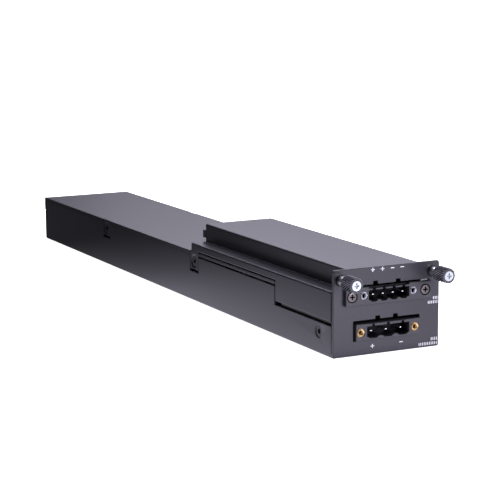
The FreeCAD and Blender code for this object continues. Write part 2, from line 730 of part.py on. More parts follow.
def low_cover():
    """Flat rear cover with a window under the raised part, two side tabs and a rear flap."""
    cover = keep(body("low_cover"))
    plate = level(cover, "low_plate", wall_top)
    tab_half = d.tab_width / 2
    reach = tab_half + d.notch_room
    relief = inner - d.notch_room
    right = [
        (half, d.skirt_end + d.seam), (half, d.front_tab - reach), (inner - d.slip, d.front_tab - reach),
        (inner - d.slip, d.front_tab + reach), (half, d.front_tab + reach),
        (half, d.rear_tab - reach), (relief, d.rear_tab - reach), (relief, d.rear_tab - tab_half),
        (half, d.rear_tab - tab_half), (half, d.rear_tab + tab_half), (relief, d.rear_tab + tab_half),
        (relief, d.rear_tab + reach), (half, d.rear_tab + reach), (half, d.case_length),
    ]
    left = [(-x, y) for x, y in reversed(right)]
    outline(plate, right + left)
    rectangle(plate, -d.window_width / 2, d.window_front, d.window_width / 2, d.window_rear)
    pad(cover, plate, d.sheet)
    flap = across(cover, "rear_flap", d.case_length)
    rectangle(flap, -half, d.flap_bottom, half, d.low_top)
    pad(cover, flap, d.sheet, -1)
    for name, side in SIDES.items():
        tab = along(cover, f"{name}_tab", side * half)
        tab_outline(tab, d.rear_tab, d.low_top)
        pad(cover, tab, d.sheet, -side)
        fold = across(cover, f"{name}_tab_fold", d.rear_tab - tab_half)
        fold_cut(fold, side * half, d.low_top, -side, -1)
        pocket(cover, fold, d.tab_width)
        countersink(cover, (side * half, d.rear_tab, d.tab_screw_up), inward(side), d.tab_dish)
        flap_hole = (side * d.flap_screw_out, d.case_length, d.flap_screw_up)
        countersink(cover, flap_hole, TO_FRONT, d.wall_dish)
    round_edges(cover, d.bend, 0, [(d.case_length, d.low_top)])
    return cover


def front_cover():
    """Folded cover with a raised middle, shoulders, skirts, tabs, tongues and rear flaps."""
    cover = keep(body("front_cover"))
    start = d.sheet + d.panel_gap
    raised = d.raised_width / 2
    raised_in = raised - d.sheet
    shoulder_in = d.shoulder_top - d.sheet
    raised_top_in = d.raised_top - d.sheet
    section = across(cover, "hat_section", start)
    right = [
        (raised, d.raised_top), (raised, d.shoulder_top), (half, d.shoulder_top),
        (half, d.ledge_bottom), (inner, d.ledge_bottom), (inner, shoulder_in),
        (raised_in, shoulder_in), (raised_in, raised_top_in),
    ]
    left = [(-x, z) for x, z in reversed(right)]
    outline(section, right + left)
    pad(cover, section, d.cover_end - start)
    outside = [(half, d.shoulder_top), (raised, d.raised_top), (raised_in, shoulder_in)]
    inside = [(inner, shoulder_in), (raised_in, raised_top_in), (raised, d.shoulder_top)]
    for radius, corners in ((d.bend, outside), (d.bend_inside, inside)):
        round_edges(cover, radius, 1, [(side * x, z) for x, z in corners for side in SIDES.values()])

    flaps = across(cover, "rear_flaps", d.cover_end)
    rectangle(flaps, -raised_in + d.seam, d.low_top + d.seam, raised_in - d.seam, raised_top_in + d.seam)
    for side in SIDES.values():
        rectangle(flaps, side * raised, d.low_top + d.seam, side * (inner - d.seam), shoulder_in + d.seam)
    pad(cover, flaps, d.sheet, -1)

    for name, side in SIDES.items():
        skirt = along(cover, f"{name}_skirt", side * half)
        rectangle(skirt, start, d.skirt_bottom, d.skirt_end, d.ledge_bottom)
        tab_outline(skirt, d.front_tab, d.ledge_bottom)
        pad(cover, skirt, d.sheet, -side)
        countersink(cover, (side * half, d.front_tab, d.tab_screw_up), inward(side), d.tab_dish)
        joggle = along(cover, f"{name}_joggle", side * inner)
        rectangle(joggle, d.tongue_front, d.skirt_bottom,
                  d.tongue_rear, d.skirt_bottom + d.tongue_joggle)
        pad(cover, joggle, d.sheet + d.slip, -side)
        tongue = along(cover, f"{name}_tongue", side * (inner - d.slip))
        rectangle(tongue, d.tongue_front, d.tongue_bottom,
                  d.tongue_rear, d.skirt_bottom + d.tongue_joggle)
        circle(tongue, d.side_screw_back, d.side_screw_up, d.screw_radius + d.fit)
        pad(cover, tongue, d.sheet, -side)
        ear = along(cover, f"{name}_ear", side * raised)
        rectangle(ear, d.cover_end - d.sheet, d.ear_bottom, d.cover_end + d.ear_length, d.ear_top)
        pad(cover, ear, d.sheet, -side)
    return cover


def nut_plates():
    """Threaded plates on the inside of the tray walls, behind the four cover tabs."""
    plates = []
    for name, side in SIDES.items():
        for place, middle in (("front", d.front_tab), ("rear", d.rear_tab)):
            plate = body(f"{name}_{place}_nut_plate")
            face = along(plate, f"{name}_{place}_plate", side * inner)
            rectangle(face, middle - d.nut_plate_width / 2, d.nut_plate_bottom,
                      middle + d.nut_plate_width / 2, d.nut_plate_top)
            circle(face, middle, d.tab_screw_up, d.screw_radius + d.fit)
            pad(plate, face, d.nut_plate, -side)
            plates.append(plate)
    return keep(group("nut_plates", plates))


# Case fasteners
def flat_screw(label, x, y, z, turn):
    """Countersunk screw with a hexagon socket, its head sunk below the face at the given place."""
    screw = body(label, x, y, z, turn)
    turned(screw, label + "_profile", [
        (0, d.head_sink), (d.flat_head, d.head_sink), (d.screw_radius, d.sheet),
        (d.screw_radius, d.flat_length), (0, d.flat_length),
    ])
    recess = level(screw, label + "_socket", d.head_sink)
    hexagon(recess, 0, 0, d.socket_corner)
    pocket(screw, recess, d.socket_depth)
    return screw


def case_screws():
    """Countersunk screws of tray and covers, grouped by what they hold."""
    side_screws = []
    tab_screws = []
    flap_screws = []
    for name, side in SIDES.items():
        side_screws.append(flat_screw(f"{name}_side_screw", side * half, d.side_screw_back,
                                      d.side_screw_up, inward(side)))
        for place, middle in (("front", d.front_tab), ("rear", d.rear_tab)):
            tab_screws.append(flat_screw(f"{name}_{place}_tab_screw", side * half, middle,
                                         d.tab_screw_up, inward(side)))
        flap_screws.append(flat_screw(f"{name}_flap_screw", side * d.flap_screw_out, d.case_length,
                                      d.flap_screw_up, TO_FRONT))
    keep(group("side_screws", side_screws))
    keep(group("tab_screws", tab_screws))
    keep(group("flap_screws", flap_screws))


def pan_screws(label, places, seat, length):
    """Upright pan-head screws with cross recesses, their heads on a seat."""
    screws = keep(body(label))
    head = level(screws, label + "_heads", seat)
    shank = level(screws, label + "_shanks", seat)
    recess = level(screws, label + "_recesses", seat + d.pan_height)
    for x, y in places:
        circle(head, x, y, d.pan_head)
        circle(shank, x, y, d.screw_radius)
        cross(recess, x, y, d.drive_arm, d.drive_width)
    pad(screws, head, d.pan_height)
    pad(screws, shank, length, -1)
    pocket(screws, recess, d.drive_depth, -1)
    return screws


# Captive thumbscrews, turned about local z, which points out of the panel
def ferrule(name, side):
    """Sleeve pressed into the panel, with a spring seat and a lip that keeps the screw."""
    sleeve = keep(body(f"{name}_ferrule", side * d.thumb_out, 0, d.thumb_up, TO_FRONT))
    rear = -d.sheet - d.ferrule_rim_depth
    turned(sleeve, f"{name}_ferrule_profile", [
        (d.ferrule_lip, rear), (d.ferrule_rim, rear), (d.ferrule_rim, -d.sheet),
        (d.ferrule_radius, -d.sheet), (d.ferrule_radius, d.ferrule_front),
        (d.ferrule_bore, d.ferrule_front), (d.ferrule_bore, -d.ferrule_seat),
        (d.ferrule_lip, -d.ferrule_seat),
    ])
    return sleeve


def thumb_screw(name, side):
    """Captive screw: head in the knob, relieved shank, and a thread wider than the lip."""
    screw = keep(body(f"{name}_screw", side * d.thumb_out, 0, d.thumb_up, TO_FRONT))
    seat = d.knob_reach - d.thumb_head_depth
    thread_end = -d.thread_start - d.thread_length
    turned(screw, f"{name}_screw_profile", [
        (0, d.knob_reach), (d.thumb_head, d.knob_reach), (d.thumb_head, seat),
        (d.thumb_shank, seat), (d.thumb_shank, -d.thread_start),
        (d.screw_radius, -d.thread_start - d.thread_point),
        (d.screw_radius, thread_end + d.thread_point),
        (d.screw_radius - d.thread_point, thread_end), (0, thread_end),
    ])
    recess = level(screw, f"{name}_screw_recess", d.knob_reach)
    cross(recess, 0, 0, d.drive_arm, d.drive_width)
    pocket(screw, recess, d.drive_depth, -1)
    return screw


def place_shape(label, shape, side):
    """A sub-part with a shape of its own on a thumbscrew's axis."""
    item = doc.addObject("Part::Feature", label)
    item.Label = label
    item.Shape = shape
    spot_on_panel = Vector(side * d.thumb_out.number, panel_face.number, d.thumb_up.number)
    item.Placement = FreeCAD.Placement(spot_on_panel, TO_FRONT)
    return keep(item)


def knurl_section(height, turn):
    """Star-shaped outline of the knurl at one height."""
    corners = []
    for i in range(2 * KNURL_RIDGES):
        radius = d.knob_radius.number - (i % 2) * d.knurl_depth.number
        angle = turn + math.pi * i / KNURL_RIDGES
        corners.append(Vector(radius * math.cos(angle), radius * math.sin(angle), height))
    return Part.makePolygon(corners + corners[:1])


def knob(name, side):
    """Knurled knob: a twisted loft of ridges between plain collars, bored to run over the ferrule."""
    back = d.knob_back.number
    front = d.knob_reach.number
    low = back + d.knob_collar.number
    high = front - d.knob_collar.number
    valley = d.knob_radius.number - d.knurl_depth.number
    twist = (high - low) * math.tan(math.radians(KNURL_ANGLE)) / d.knob_radius.number
    steps = [i / KNURL_SECTIONS for i in range(KNURL_SECTIONS + 1)]
    sections = [knurl_section(low + (high - low) * s, twist * s) for s in steps]
    ridges = Part.makeLoft(sections, True, True)
    seat = front - d.thumb_head_depth.number
    floor = d.knob_floor.number
    collar_back = Part.makeCylinder(valley, low - back, Vector(0, 0, back))
    collar_front = Part.makeCone(d.knob_chamfer.number, d.knob_face.number, front - high, Vector(0, 0, high))
    bore = Part.makeCylinder(d.knob_bore.number, floor - back, Vector(0, 0, back))
    hole = Part.makeCylinder((d.thumb_shank + d.fit).number, front - back, Vector(0, 0, back))
    sink = Part.makeCylinder((d.thumb_head + d.fit).number, front - seat, Vector(0, 0, seat))
    shape = ridges.fuse([collar_back, collar_front]).cut([bore, hole, sink])
    return place_shape(f"{name}_knob", shape.Solids[0], side)


def spring(name, side):
    """Compression spring between the ferrule's seat and the knob's floor."""
    start = d.wire_radius.number - d.ferrule_seat.number
    rise = d.knob_floor.number - 2 * d.wire_radius.number + d.ferrule_seat.number
    count = SPRING_TURNS * SPRING_STEPS
    path = []
    for i in range(count + 1):
        angle = 2 * math.pi * i / SPRING_STEPS
        reach = d.coil_radius.number
        path.append(Vector(reach * math.cos(angle), reach * math.sin(angle), start + rise * i / count))
    tangent = (path[1] - path[0]).normalize()
    side_way = Vector(1, 0, 0)
    up_way = tangent.cross(side_way).normalize()
    ring = []
    for i in range(WIRE_SIDES):
        angle = 2 * math.pi * i / WIRE_SIDES
        offset = side_way * math.cos(angle) + up_way * math.sin(angle)
        ring.append(path[0] + offset * d.wire_radius.number)
    sweep = Part.BRepOffsetAPI.MakePipeShell(Part.makePolygon(path))
    sweep.setFrenetMode(True)
    sweep.setTransitionMode(1)
    sweep.add(Part.makePolygon(ring + ring[:1]))
    sweep.build()
    sweep.makeSolid()
    return place_shape(f"{name}_spring", sweep.shape(), side)


# Terminal headers
def socket_outline(item, places, pitch, cavity_half, top, peak, lobe):
    """The mouth of a header: a straight top and a lobed floor, one lobe for each pole."""
    points = [(-cavity_half, peak)]
    for place in places:
        points += [
            (place - LOBE_TOP * pitch, peak), (place - LOBE_FLOOR * pitch, lobe),
            (place + LOBE_FLOOR * pitch, lobe), (place + LOBE_TOP * pitch, peak),
        ]
    points += [(cavity_half, peak), (cavity_half, top), (-cavity_half, top)]
    outline(item, points)


def header_pins(label, places, tip, height, tail):
    """Bent square pins with tapered tips, from the socket down through a board."""
    pins = keep(body(label))
    low = d.pin_side / 2
    for i, place in enumerate(places):
        shape = along(pins, f"{label}_{i}", place - low)
        outline(shape, [
            (tip, height - PIN_TAPER * low), (tip, height + PIN_TAPER * low),
            (tip + d.pin_side, height + low),
            (d.pin_drop + low, height + low), (d.pin_drop + low, tail), (d.pin_drop - low, tail),
            (d.pin_drop - low, height - low), (tip + d.pin_side, height - low),
        ])
        pad(pins, shape, d.pin_side)
    return pins


def header_inserts(label, out, height, radius, front):
    """Threaded inserts beside a header's socket, with a groove round each mouth."""
    inserts = keep(body(label))
    rings = across(inserts, label + "_rings", front + d.insert_neck_depth)
    mouths = across(inserts, label + "_mouths", front)
    for side in SIDES.values():
        for face, outer in ((rings, radius), (mouths, radius - d.insert_neck)):
            circle(face, side * out, height, outer)
            circle(face, side * out, height, d.insert_bore)
    pad(inserts, rings, d.insert_length - d.insert_neck_depth)
    pad(inserts, mouths, d.insert_neck_depth)
    return inserts


def header_back_wall(owner, name, half_width, bottom, top, places, height):
    """The wall that carries a header's pins."""
    wall = across(owner, name, d.socket_back)
    rectangle(wall, -half_width, bottom, half_width, top)
    low = d.pin_side / 2
    for place in places:
        rectangle(wall, place - low, height - low, place + low, height + low)
    pad(owner, wall, d.header_back - d.socket_back)


def top_slots(owner, name, places, front, bottom, top):
    """Coding slots in the top wall of a socket, one for each pole."""
    slots = across(owner, name, front)
    for place in places:
        rectangle(slots, place - d.coding_half, bottom - d.slip, place + d.coding_half, top)
    pocket(owner, slots, d.socket_back - front)


def upper_header():
    """Four-pole header with a screwed flange in front of the panel."""
    places = pole_places(UPPER_POLES, d.upper_pitch)
    mouth = (places, d.upper_pitch, d.upper_cavity_half, d.upper_cavity_top, d.upper_peak, d.upper_lobe)
    front = -d.upper_flange_front
    housing = keep(body("upper_header"))
    flange = across(housing, "upper_flange", front)
    rectangle(flange, -d.upper_flange_half, d.upper_flange_bottom, d.upper_flange_half, d.upper_flange_top)
    socket_outline(flange, *mouth)
    for side in SIDES.values():
        circle(flange, side * d.upper_insert_out, d.upper_pin_up, d.upper_insert_radius)
        circle(flange, side * d.upper_screw_out, d.upper_screw_up, d.upper_screw_radius + d.fit)
    pad(housing, flange, d.upper_flange_front)

    shroud = across(housing, "upper_shroud")
    rectangle(shroud, -d.upper_body_half, d.upper_board_top, d.upper_body_half, d.upper_body_top)
    socket_outline(shroud, *mouth)
    for side in SIDES.values():
        circle(shroud, side * d.upper_insert_out, d.upper_pin_up, d.upper_insert_radius)
    pad(housing, shroud, d.socket_back)
    header_back_wall(housing, "upper_back", d.upper_body_half, d.upper_board_top, d.upper_body_top,
                     places, d.upper_pin_up)

    sinks = across(housing, "upper_sinks", front)
    for side in SIDES.values():
        circle(sinks, side * d.upper_screw_out, d.upper_screw_up, d.upper_screw_well)
    pocket(housing, sinks, d.upper_screw_sink)
    trough = across(housing, "upper_trough", front)
    rectangle(trough, -d.upper_cavity_half, d.upper_body_top - d.slot_floor,
              d.upper_cavity_half, d.upper_flange_top + d.over)
    pocket(housing, trough, d.upper_flange_front)
    top_slots(housing, "upper_slots", places, front, d.upper_cavity_top, d.upper_body_top - d.slot_floor)

    header_pins("upper_header_pins", places, d.upper_pin_tip, d.upper_pin_up,
                d.upper_board_top - d.board_sheet - d.pin_side)
    header_inserts("upper_header_inserts", d.upper_insert_out, d.upper_pin_up,
                   d.upper_insert_radius, front)
    return places


def upper_header_screws():
    """Cross-recessed screws that hold the upper flange to the panel."""
    screws = keep(body("upper_header_screws"))
    seat = d.upper_screw_sink - d.upper_flange_front
    heads = across(screws, "flange_screw_heads", seat)
    shanks = across(screws, "flange_screw_shanks", seat)
    recesses = across(screws, "flange_screw_recesses", -d.upper_flange_front)
    for side in SIDES.values():
        x = side * d.upper_screw_out
        circle(heads, x, d.upper_screw_up, d.upper_screw_head)
        circle(shanks, x, d.upper_screw_up, d.upper_screw_radius)
        cross(recesses, x, d.upper_screw_up, d.drive_arm, d.drive_width)
    pad(screws, heads, d.upper_screw_sink, -1)
    pad(screws, shanks, d.sheet - seat)
    pocket(screws, recesses, d.drive_depth)
    return screws


def lower_header():
    """Three-pole header that stands on the main board and reaches through the panel."""
    places = pole_places(LOWER_POLES, d.lower_pitch)
    mouth = (places, d.lower_pitch, d.lower_cavity_half, d.lower_cavity_top, d.lower_peak, d.lower_lobe)
    front = -d.lower_front
    housing = keep(body("lower_header"))
    shroud = across(housing, "lower_shroud", front)
    rectangle(shroud, -d.lower_half, d.lower_bottom, d.lower_half, d.lower_top)
    socket_outline(shroud, *mouth)
    for side in SIDES.values():
        circle(shroud, side * d.lower_insert_out, d.lower_pin_up, d.lower_insert_radius)
    pad(housing, shroud, d.socket_back - front)
    header_back_wall(housing, "lower_back", d.lower_half, d.lower_bottom, d.lower_top,
                     places, d.lower_pin_up)
    top_slots(housing, "lower_slots", places, front, d.lower_cavity_top, d.lower_top - d.slot_floor)

    header_pins("lower_header_pins", places, d.lower_pin_tip, d.lower_pin_up,
                d.board_top - d.board_sheet - d.pin_side)
    header_inserts("lower_header_inserts", d.lower_insert_out, d.lower_pin_up,
                   d.lower_insert_radius, front)
    return places


# Boards and what holds them
def main_board(pin_places):
    """Long board on the tray's posts."""
    board = keep(body("main_board"))
    face = level(board, "main_board_face", d.board_top)
    rectangle(face, -d.board_width / 2, d.board_front, d.board_width / 2, d.board_rear)
    for x, y in post_places + upper_post_places:
        circle(face, x, y, d.screw_radius + d.slip)
    for x in pin_places:
        circle(face, x, d.pin_drop, d.pin_side)
    for x, y in link_places:
        circle(face, x, y, d.link_pin)
    pad(board, face, d.board_sheet, -1)
    return board


def auxiliary_board(pin_places):
    """Short board behind the upper header, above the main one."""
    board = keep(body("auxiliary_board"))
    face = level(board, "auxiliary_board_face", d.upper_board_top)
    rectangle(face, -d.board_width / 2, d.board_front, d.board_width / 2, d.upper_board_rear)
    for x, y in upper_post_places:
        circle(face, x, y, d.screw_radius + d.slip)
    for x in pin_places:
        circle(face, x, d.pin_drop, d.pin_side)
    for x, y in link_places:
        circle(face, x, y, d.link_pin)
    pad(board, face, d.board_sheet, -1)
    return board


def posts():
    """Hexagonal posts under the main board, and two under the auxiliary board."""
    low = keep(body("board_standoffs"))
    feet = level(low, "board_posts", d.sheet)
    for x, y in post_places:
        hexagon(feet, x, y, d.post_corner)
        circle(feet, x, y, d.screw_radius + d.fit)
    pad(low, feet, d.board_top - d.board_sheet - d.sheet)

    tall = keep(body("auxiliary_standoffs"))
    columns = level(tall, "auxiliary_posts", d.board_top)
    studs = level(tall, "auxiliary_studs", d.board_top)
    bores = level(tall, "auxiliary_bores", d.upper_board_top - d.board_sheet)
    for x, y in upper_post_places:
        hexagon(columns, x, y, d.post_corner)
        circle(studs, x, y, d.screw_radius)
        circle(bores, x, y, d.screw_radius + d.fit)
    pad(tall, columns, d.upper_board_top - d.board_sheet - d.board_top)
    pad(tall, studs, d.board_sheet + d.notch_room, -1)
    pocket(tall, bores, d.flat_length, -1)


def insulating_sheet():
    """Film on the tray's floor, cut out round the posts."""
    film = keep(body("insulating_sheet"))
    face = level(film, "film_face", d.sheet)
    rectangle(face, d.film_margin - inner, d.board_front, inner - d.film_margin, d.board_rear)
    for x, y in post_places:
        circle(face, x, y, d.post_corner + d.seam)
    pad(film, face, d.film_gauge)
    return film


def board_link():
    """Pin strip that joins the two boards."""
    housing = keep(body("board_link"))
    block = level(housing, "link_block", d.board_top)
    reach = LINK_PINS * d.link_pitch / 2
    rectangle(block, -reach, d.link_back - d.link_depth / 2, reach, d.link_back + d.link_depth / 2)
    pins = keep(body("board_link_pins"))
    tails = level(pins, "link_tails", d.board_top - d.board_sheet - d.pin_side)
    for x, y in link_places:
        low = d.link_pin / 2
        rectangle(block, x - low, y - low, x + low, y + low)
        rectangle(tails, x - low, y - low, x + low, y + low)
    pad(housing, block, d.upper_board_top - d.board_sheet - d.board_top)
    pad(pins, tails, d.upper_board_top - d.board_top + d.board_sheet + 2 * d.pin_side)


# Components
def fuse():
    """Cartridge fuse in two spring clips."""
    cartridge = keep(body("fuse"))
    end = across(cartridge, "fuse_end", d.fuse_front)
    circle(end, d.fuse_out, d.fuse_up, d.fuse_radius)
    pad(cartridge, end, d.fuse_length)
    clips = []
    reach = d.fuse_radius + d.fit
    wide = reach + d.clip_gauge
    floor = d.board_top + d.clip_gauge
    for place, y in (("front", d.fuse_front), ("rear", d.fuse_front + d.fuse_length - d.clip_width)):
        clip = body(f"{place}_fuse_clip")
        bend_line = across(clip, f"{place}_clip_section", y)
        outline(bend_line, [
            (d.fuse_out - wide, d.board_top), (d.fuse_out + wide, d.board_top),
            (d.fuse_out + wide, d.clip_top), (d.fuse_out + reach, d.clip_top),
            (d.fuse_out + reach, floor), (d.fuse_out - reach, floor),
            (d.fuse_out - reach, d.clip_top), (d.fuse_out - wide, d.clip_top),
        ])
        pad(clip, bend_line, d.clip_width)
        clips.append(clip)
    keep(group("fuse_clips", clips))


def choke(label, x, y, core_in, core_out, core_height, angles, arc):
    """Ring core with windings that wrap part of it and stand on the board."""
    core = keep(body(f"{label}_core", x, y, d.board_top))
    low = d.winding
    high = d.winding + core_height
    turned(core, f"{label}_ring", [(core_in, low), (core_out, low), (core_out, high), (core_in, high)])
    coils = []
    for i, angle in enumerate(angles):
        coil = body(f"{label}_coil_{i}", x, y, d.board_top, Rotation(Vector(0, 0, 1), angle))
        section = sketch(coil, "XZ_Plane", f"{label}_coil_section_{i}", 0)
        rectangle(section, core_in - d.winding, 0, core_out + d.winding, high + d.winding)
        rectangle(section, core_in, low, core_out, high)
        spin(coil, section, arc)
        coils.append(coil)
    keep(group(f"{label}_winding", coils))


def round_capacitors(label, places, radius, height):
    """Upright can capacitors with rounded shoulders."""
    cans = []
    for i, (x, y) in enumerate(places):
        can = body(f"{label}_{i}", x, y, d.board_top)
        turned(can, f"{label}_profile_{i}", [
            (0, 0), (radius, 0), (radius, height - d.sheet / 2),
            (radius - d.sheet / 2, height), (0, height),
        ])
        cans.append(can)
    keep(group(label, cans))


def block_parts(label, seat, boxes, height):
    """Moulded blocks that stand on a board."""
    blocks = keep(body(label))
    feet = level(blocks, label + "_feet", seat)
    for x, y, width, depth in boxes:
        rectangle(feet, x - width / 2, y - depth / 2, x + width / 2, y + depth / 2)
    pad(blocks, feet, height)


def transformer():
    """Two E-shaped core halves round one winding."""
    leg = d.core_leg
    window = d.core_half_length - d.core_back
    for place, way in (("front", -1), ("rear", 1)):
        core = keep(body(f"transformer_core_{place}"))
        section = level(core, f"core_{place}_section", d.core_bottom)
        depth = [d.core_middle + way * size for size in (0, window, d.core_half_length)]
        wide = d.core_half_width
        outline(section, [
            (-wide, depth[0]), (-wide, depth[2]), (wide, depth[2]), (wide, depth[0]),
            (wide - leg, depth[0]), (wide - leg, depth[1]), (leg, depth[1]), (leg, depth[0]),
            (-leg, depth[0]), (-leg, depth[1]), (leg - wide, depth[1]), (leg - wide, depth[0]),
        ])
        pad(core, section, d.core_height)
    winding = keep(body("transformer_winding"))
    gap = d.coil_margin
    start = d.core_middle - window + gap
    ring = across(winding, "winding_section", start)
    outer = d.core_half_width - leg - gap
    rectangle(ring, -outer, d.board_top, outer, d.core_bottom + d.core_height + d.coil_top)
    rectangle(ring, -leg - gap, d.core_bottom - gap, leg + gap, d.core_bottom + d.core_height + gap)
    pad(winding, ring, 2 * (window - gap))


def heatsink():
    """Finned bar that carries the power transistors."""
    bar = keep(body("heatsink"))
    section = across(bar, "heatsink_section", d.sink_front)
    back = d.sink_face + d.sink_wall
    top = d.board_top + d.sink_height
    points = [(d.sink_face, d.board_top)]
    step = (d.sink_height - d.fin) / (FINS - 1)
    for i in range(FINS):
        low = d.board_top + step * i
        points += [(back, low), (d.sink_tip, low), (d.sink_tip, low + d.fin), (back, low + d.fin)]
    points = points[:1] + points[2:-1] + [(d.sink_face, top)]
    outline(section, points)
    pad(bar, section, d.sink_length)
    holes = along(bar, "heatsink_holes", d.sink_face)
    for y in transistor_places:
        circle(holes, y, d.transistor_hole_up, d.screw_radius + d.fit)
    pocket(bar, holes, d.sink_wall)


def transistors():
    """Power transistors on insulating pads, screwed to the heat sink."""
    pads = keep(body("transistor_pads"))
    pad_face = along(pads, "pad_faces", d.sink_face)
    devices = keep(body("power_transistors"))
    mount = d.sink_face - d.pad_gauge
    tabs = along(devices, "transistor_tabs", mount)
    cases = along(devices, "transistor_cases", mount)
    leads = along(devices, "transistor_leads", mount - d.transistor_depth / 2)
    screws = keep(body("transistor_screws"))
    seat = mount - d.transistor_tab
    heads = along(screws, "transistor_screw_heads", seat)
    shanks = along(screws, "transistor_screw_shanks", seat)
    wide = d.transistor_width / 2
    for y in transistor_places:
        for face in (pad_face, tabs):
            rectangle(face, y - wide, d.transistor_bottom, y + wide, d.transistor_top)
            circle(face, y, d.transistor_hole_up, d.screw_radius + d.fit)
        rectangle(cases, y - wide, d.transistor_bottom, y + wide, d.transistor_shoulder)
        for i in (-1, 0, 1):
            middle = y + i * d.lead_pitch
            rectangle(leads, middle - d.lead / 2, d.board_top,
                      middle + d.lead / 2, d.transistor_bottom + d.lead_root)
        circle(heads, y, d.transistor_hole_up, d.transistor_head)
        circle(shanks, y, d.transistor_hole_up, d.screw_radius)
    pad(pads, pad_face, d.pad_gauge, -1)
    pad(devices, tabs, d.transistor_tab, -1)
    pad(devices, cases, d.transistor_depth, -1)
    pad(devices, leads, d.lead)
    pad(screws, heads, d.pan_height, -1)
    pad(screws, shanks, d.transistor_tab + d.pad_gauge + d.sink_wall)


def rear_connector():
    """Blind-mate connector in the rear wall: slotted housing with blade contacts."""
    end = d.case_length + d.rear_reach
    low = d.board_top
    middle = low + d.rear_height / 2
    housing = keep(body("rear_connector"))
    block = across(housing, "rear_block", d.rear_front)
    rectangle(block, -d.rear_half, low, d.rear_half, low + d.rear_height)
    blade_low = middle - d.contact_height / 2
    blade_high = middle + d.contact_height / 2
    for x in contact_places:
        rectangle(block, x - d.contact_gauge / 2, blade_low, x + d.contact_gauge / 2, blade_high)
    pad(housing, block, end - d.rear_front)
    slots = across(housing, "rear_slots", end)
    for x in contact_places:
        rectangle(slots, x - d.slot_width / 2, middle - d.slot_height / 2,
                  x + d.slot_width / 2, middle + d.slot_height / 2)
    pocket(housing, slots, d.slot_depth, -1)
    guides = across(housing, "rear_guides", end)
    for side in SIDES.values():
        circle(guides, side * d.guide_out, middle, d.guide_radius)
    pocket(housing, guides, d.slot_depth, -1)

    contacts = keep(body("rear_contacts"))
    tail = d.rear_front - d.pin_side
    for i, x in enumerate(contact_places):
        blade = along(contacts, f"rear_blade_{i}", x - d.contact_gauge / 2)
        outline(blade, [
            (tail, low), (d.rear_front, low), (d.rear_front, blade_low),
            (end - d.pin_side, blade_low), (end - d.pin_side, blade_high), (tail, blade_high),
        ])
        pad(contacts, blade, d.contact_gauge)


def build():
    """Makes every sub-part."""
    base_tray()
    low_cover()
    front_cover()
    nut_plates()
    case_screws()
    for name, side in SIDES.items():
        ferrule(name, side)
        thumb_screw(name, side)
        knob(name, side)
        spring(name, side)
    upper_places = upper_header()
    upper_header_screws()
    lower_places = lower_header()
    main_board(lower_places)
    auxiliary_board(upper_places)
    posts()
    insulating_sheet()
    board_link()
    pan_screws("board_screws", post_places, d.board_top, d.board_top - d.sheet - d.post_floor)
    pan_screws("auxiliary_screws", upper_post_places, d.upper_board_top, d.flat_length)
    fuse()
    choke("input_choke", d.input_choke_out, d.input_choke_back, d.input_core_in, d.input_core_out,
          d.input_core_height, INPUT_COILS, INPUT_ARC)
    choke("output_choke", d.output_choke_out, d.output_choke_back, d.output_core_in, d.output_core_out,
          d.output_core_height, OUTPUT_COILS, OUTPUT_ARC)
    round_capacitors("bulk_capacitors", [(side * d.bulk_out, row) for row in BULK_ROWS
                                         for side in SIDES.values()], d.bulk_radius, d.bulk_height)
    round_capacitors("output_capacitors", [(x, d.output_back) for x in OUTPUT_PLACES],
                     d.output_radius, d.output_height)
    boxes = [(side * d.box_out, d.box_back, d.box_width, d.box_depth) for side in SIDES.values()]
    block_parts("film_capacitors", d.upper_board_top, boxes, d.box_height)
    transformer()
    heatsink()
    transistors()
    block_parts("controller_chips", d.board_top, CHIPS, d.chip_height)
    rear_connector()


def check():
    """Raises an error if any object failed, any shape is bad or any cut removed nothing."""
    for item in doc.Objects:
        if "Invalid" in item.State or "Error" in item.State:
            raise RuntimeError(f"{item.Name} failed: {item.State}")
        cuts = ("PartDesign::Pocket", "PartDesign::SubtractiveCone")
        if item.TypeId in cuts and item.Shape.Volume >= item.BaseFeature.Shape.Volume - 1e-6:
            raise RuntimeError(f"{item.Name} cuts nothing")
    for item in nodes:
        if item.Shape.isNull() or not item.Shape.isValid():
            raise RuntimeError(f"{item.Label} has no valid shape")


build()
doc.recompute()
check()
os.makedirs("parts", exist_ok=True)
for node in nodes:
    node.Shape.exportStep(os.path.join("parts", node.Label + ".step"))
print(f"{len(nodes)} sub-parts written")
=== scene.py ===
import json
import math

import bmesh
import bpy
from bpy.props import FloatProperty, FloatVectorProperty, IntProperty, PointerProperty
from mathutils import Matrix, Vector


